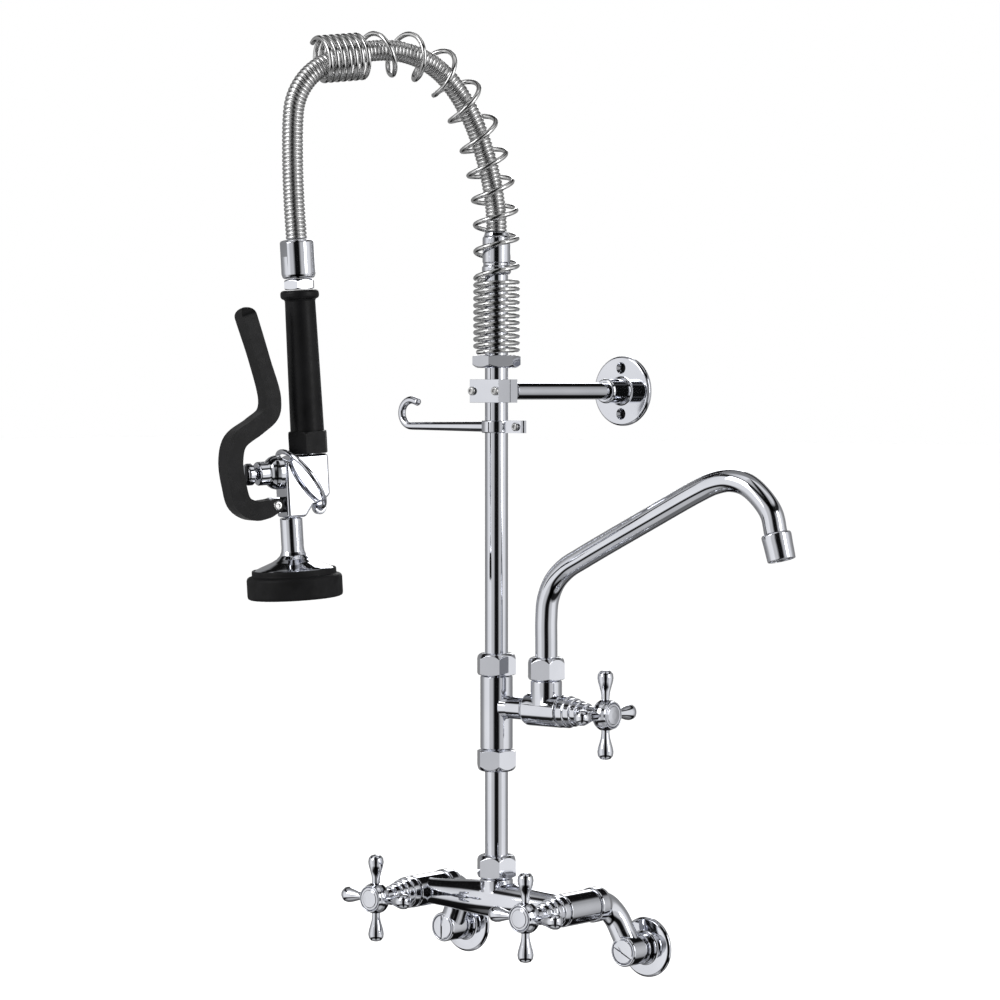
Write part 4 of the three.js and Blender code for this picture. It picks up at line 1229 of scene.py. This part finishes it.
def make_stem_spring():
    """The spring behind the stem, which shortens towards its fixed back end as the stem comes in."""
    back, length, coil_r, turns, per_turn = 7.2, 12.6, 5.8, 4, 24
    path = []
    for i in range(turns * per_turn + 1):
        angle = 2 * math.pi * i / per_turn
        along = back + length * i / (turns * per_turn)
        path.append(Vector((along, coil_r * math.cos(angle), coil_r * math.sin(angle) + STEM_Z)))
    spring = new_object("stem_return_spring", [sweep(path, 0.7, GUN, sides=8)], SPRING_STEEL)
    finish_piece(spring, "spray_gun", "steel", "stem_spring")
    axis = tuple(GUN.to_3x3() @ Vector((1, 0, 0)))
    anchor = tuple(GUN @ Vector((6, 0, STEM_Z)) * MM)
    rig.squash(spring, "stem_push", axis=axis, anchor=anchor, keep=0.74)


def make_ring():
    """A plain ring of wire that hangs from its eye, out from the gun and down."""
    eye = GUN @ shift(RING_PIVOT[0], 0, RING_PIVOT[1])
    place = eye @ turn(-RING_LEAN, "Y") @ shift(RING_R, 0, 0)
    points = []
    faces = []
    around, sides = 120, 18
    for i in range(around):
        angle = 2 * math.pi * i / around
        for k in range(sides):
            roll = 2 * math.pi * k / sides
            reach = RING_R + RING_WIRE_R * math.cos(roll)
            point = Vector((reach * math.cos(angle), reach * math.sin(angle), RING_WIRE_R * math.sin(roll)))
            points.append(place @ point)
            here = i * sides
            beyond = ((i + 1) % around) * sides
            faces.append((here + k, beyond + k, beyond + (k + 1) % sides, here + (k + 1) % sides))
    ring = new_object("hanging_ring", [(points, faces)], CHROME)
    finish_piece(ring, "ring", "chrome", "hang_ring")


def make_spray_head():
    bell = [
        (5, -214.4), (8.2, -214.4), (8.7, -215.2), (8.7, -236.8), (9, -240.2),
        (10.2, -243.4), (13, -246.2), (17, -248.4), (22, -250.4), (27, -252.4),
        (29.6, -253.6), (31.3, -255), (31.5, -255.7), (31.5, -256.5), (27, -256.5),
        (27, -255), (5, -244.5), (5, -214.4),
    ]
    turned_piece("spray_bell_casting", "spray_gun", "spray_bell", bell, SPRAY, facets=FINE_FACETS)
    bumper = [
        (28.5, -276.3), (35.2, -276.3), (36.7, -275.5), (37.1, -273.7), (37.1, -261.5),
        (36.5, -259.8), (35.2, -258.9), (33.5, -258.7), (32.8, -257.8), (32.8, -255),
        (32.4, -254), (31.8, -254), (31.8, -256.9), (28.5, -256.9), (28.5, -276.3),
    ]
    turned_piece(
        "spray_bumper_ring", "spray_gun", "spray_bumper", bumper, SPRAY, RUBBER, "rubber", facets=120
    )
    face = [
        (0, -270.4), (26.6, -270.4), (27.4, -269.6), (27.4, -267.4), (25, -267.4),
        (25, -256.1), (23.4, -256.1), (23.4, -267.4), (0, -267.4),
    ]
    plate = new_object("spray_plate", [lathe(face, SPRAY, 0.3)], SCREW_STEEL)
    drill_points = []
    drill_faces = []
    for circle_r, count in ((8, 8), (15, 14), (21, 20)):
        for i in range(count):
            angle = 2 * math.pi * i / count
            spot = SPRAY @ shift(circle_r * math.cos(angle), circle_r * math.sin(angle), -270.4)
            points, faces = lathe([(0, -1), (0.9, -1), (0.9, 1.4), (0, 1.4)], spot, 0, 12)
            base = len(drill_points)
            drill_points += points
            drill_faces += [tuple(base + v for v in face) for face in faces]
    carve(plate, (drill_points, drill_faces))
    finish_piece(plate, "spray_gun", "steel", "spray_face")


# ---------- inner pieces that stay as CAD ----------


def paint_inner_nodes():
    """The cartridges and spindles keep their CAD shape and are machined brass."""
    for name, node in frame["nodes"].items():
        if name.endswith(("_cartridge", "_spindle")):
            node.data.materials.clear()
            node.data.materials.append(BRASS)


# ---------- studio ----------


def make_floor():
    """A pale floor that reflections don't show: chrome mirrors the painted room in its place."""
    mesh = bpy.data.meshes.new("floor")
    corners = [(x * FLOOR_HALF, y * FLOOR_HALF, FLOOR_Z) for x, y in ((-1, -1), (1, -1), (1, 1), (-1, 1))]
    mesh.from_pydata(corners, [], [(0, 1, 2, 3)])
    material, shader = new_material("pale_floor", (0.97, 0.97, 0.97), 0, 0.9)
    shader.inputs["Specular IOR Level"].default_value = 0.1
    vary_color(material, shader, noise_at(material, 3, 2), (0.965, 0.965, 0.965), (0.975, 0.975, 0.975))
    mesh.materials.append(material)
    floor = add_object("floor", mesh)
    floor.visible_glossy = False
    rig.stage(floor)


def add_softbox(name, azimuth, height, distance, width, tall, power):
    """An area light that stands at an azimuth round the riser and faces it."""
    data = bpy.data.lights.new(name, "AREA")
    data.shape = "RECTANGLE"
    data.size = width
    data.size_y = tall
    data.energy = power
    light = add_object(name, data)
    angle = math.radians(azimuth)
    light.location = (distance * math.sin(angle), -distance * math.cos(angle) + RISER_Y * MM, height)
    aim = Vector((0, RISER_Y * MM, LIGHT_AIM_HEIGHT))
    light.rotation_euler = (aim - light.location).to_track_quat("-Z", "Y").to_euler()


# How bright the mirrored room is round the compass, with the camera's side dark and softboxes beside it.
ROOM_AROUND = [
    (0.0, 0.64), (0.019, 0.65), (0.049, 1.0), (0.139, 0.9), (0.189, 0.42),
    (0.249, 0.28), (0.529, 0.28), (0.589, 0.42), (0.639, 0.9), (0.729, 1.0),
    (0.759, 0.65), (0.809, 0.62), (0.826, 0.35), (0.848, 0.006), (0.93, 0.006),
    (0.952, 0.35), (0.969, 0.62), (1.0, 0.64),
]

# How bright it is from straight down to straight up, with a dark frame above and below the softboxes.
ROOM_UPWARD = [
    (0.0, 0.6), (0.11, 0.6), (0.145, 0.02), (0.22, 0.02), (0.27, 1.0), (0.745, 1.0),
    (0.79, 0.02), (0.86, 0.02), (0.9, 0.8), (1.0, 1.0),
]


def tone_ramp(tree, fraction, stops):
    """Grey tones along a fraction from 0 to 1, at the stops given."""
    ramp = tree.nodes.new("ShaderNodeValToRGB")
    tree.links.new(fraction, ramp.inputs["Fac"])
    elements = ramp.color_ramp.elements
    for number, (position, tone) in enumerate(stops):
        element = elements[number] if number < 2 else elements.new(position)
        element.position = position
        element.color = (tone, tone, tone, 1)
    return ramp.outputs["Color"]


def make_world():
    """White behind the object, even light for matt surfaces, and a painted room for chrome to mirror."""
    bpy.context.scene.view_settings.view_transform = "Standard"
    world = bpy.data.worlds.new("studio")
    world.use_nodes = True
    bpy.context.scene.world = world
    tree = world.node_tree
    nodes = tree.nodes
    links = tree.links
    backdrop = nodes["Background"]
    backdrop.inputs["Color"].default_value = (1, 1, 1, 1)
    even_light = nodes.new("ShaderNodeBackground")
    even_light.inputs["Strength"].default_value = 1.35
    room = nodes.new("ShaderNodeBackground")
    room.inputs["Strength"].default_value = 0.92
    direction = nodes.new("ShaderNodeTexCoord")
    split = nodes.new("ShaderNodeSeparateXYZ")
    links.new(direction.outputs["Generated"], split.inputs["Vector"])
    bearing = nodes.new("ShaderNodeMath")
    bearing.operation = "ARCTAN2"
    links.new(split.outputs["X"], bearing.inputs[0])
    links.new(split.outputs["Y"], bearing.inputs[1])
    shares = []
    for value, limit in ((bearing.outputs["Value"], math.pi), (split.outputs["Z"], 1)):
        share = nodes.new("ShaderNodeMapRange")
        share.inputs["From Min"].default_value = -limit
        share.inputs["From Max"].default_value = limit
        links.new(value, share.inputs["Value"])
        shares.append(share.outputs["Result"])
    product = nodes.new("ShaderNodeVectorMath")
    product.operation = "MULTIPLY"
    links.new(tone_ramp(tree, shares[0], ROOM_AROUND), product.inputs[0])
    links.new(tone_ramp(tree, shares[1], ROOM_UPWARD), product.inputs[1])
    links.new(product.outputs["Vector"], room.inputs["Color"])
    path = nodes.new("ShaderNodeLightPath")
    shader = even_light.outputs["Background"]
    for ray, seen in (("Is Glossy Ray", room), ("Is Camera Ray", backdrop)):
        mix = nodes.new("ShaderNodeMixShader")
        links.new(path.outputs[ray], mix.inputs["Fac"])
        links.new(shader, mix.inputs[1])
        links.new(seen.outputs["Background"], mix.inputs[2])
        shader = mix.outputs["Shader"]
    links.new(shader, nodes["World Output"].inputs["Surface"])


def make_studio():
    make_floor()
    make_world()
    add_softbox("key_softbox", -20, 1.5, 2.2, 1.0, 1.4, 16)
    add_softbox("fill_softbox", 95, 1.0, 2.4, 0.7, 1.6, 10)
    add_softbox("rim_softbox", 215, 1.3, 2.2, 0.8, 1.4, 8)


# ---------- assembly ----------

make_camera()
make_hose()
make_spring()
make_mixer()
for inlet_side, inlet_name in ((-1, "left"), (1, "right")):
    make_inlet_side(inlet_side, inlet_name)
for valve_name, valve_side in (("hot", -1), ("cold", 1)):
    valve_place = shift(valve_side * VALVE_HALF_SPACING, VALVE_FRONT_Y, VALVE_Z) @ FACE_FRONT
    make_valve_trim(valve_name, f"{valve_name}_knob", valve_place)
make_valve_trim("spout_valve", "spout_knob", SPOUT_VALVE)
make_riser()
make_tee()
make_spout()
make_hook()
make_bracket()
make_grip()
make_gun_body()
make_stem_spring()
make_lever()
make_ring()
make_spray_head()
paint_inner_nodes()
make_studio()

sizes = {"cad": [list(p) for p in CAD_BOX], "visual": [list(p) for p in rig.bounds()]}
with open("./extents.json", "w") as size_file:
    json.dump(sizes, size_file)
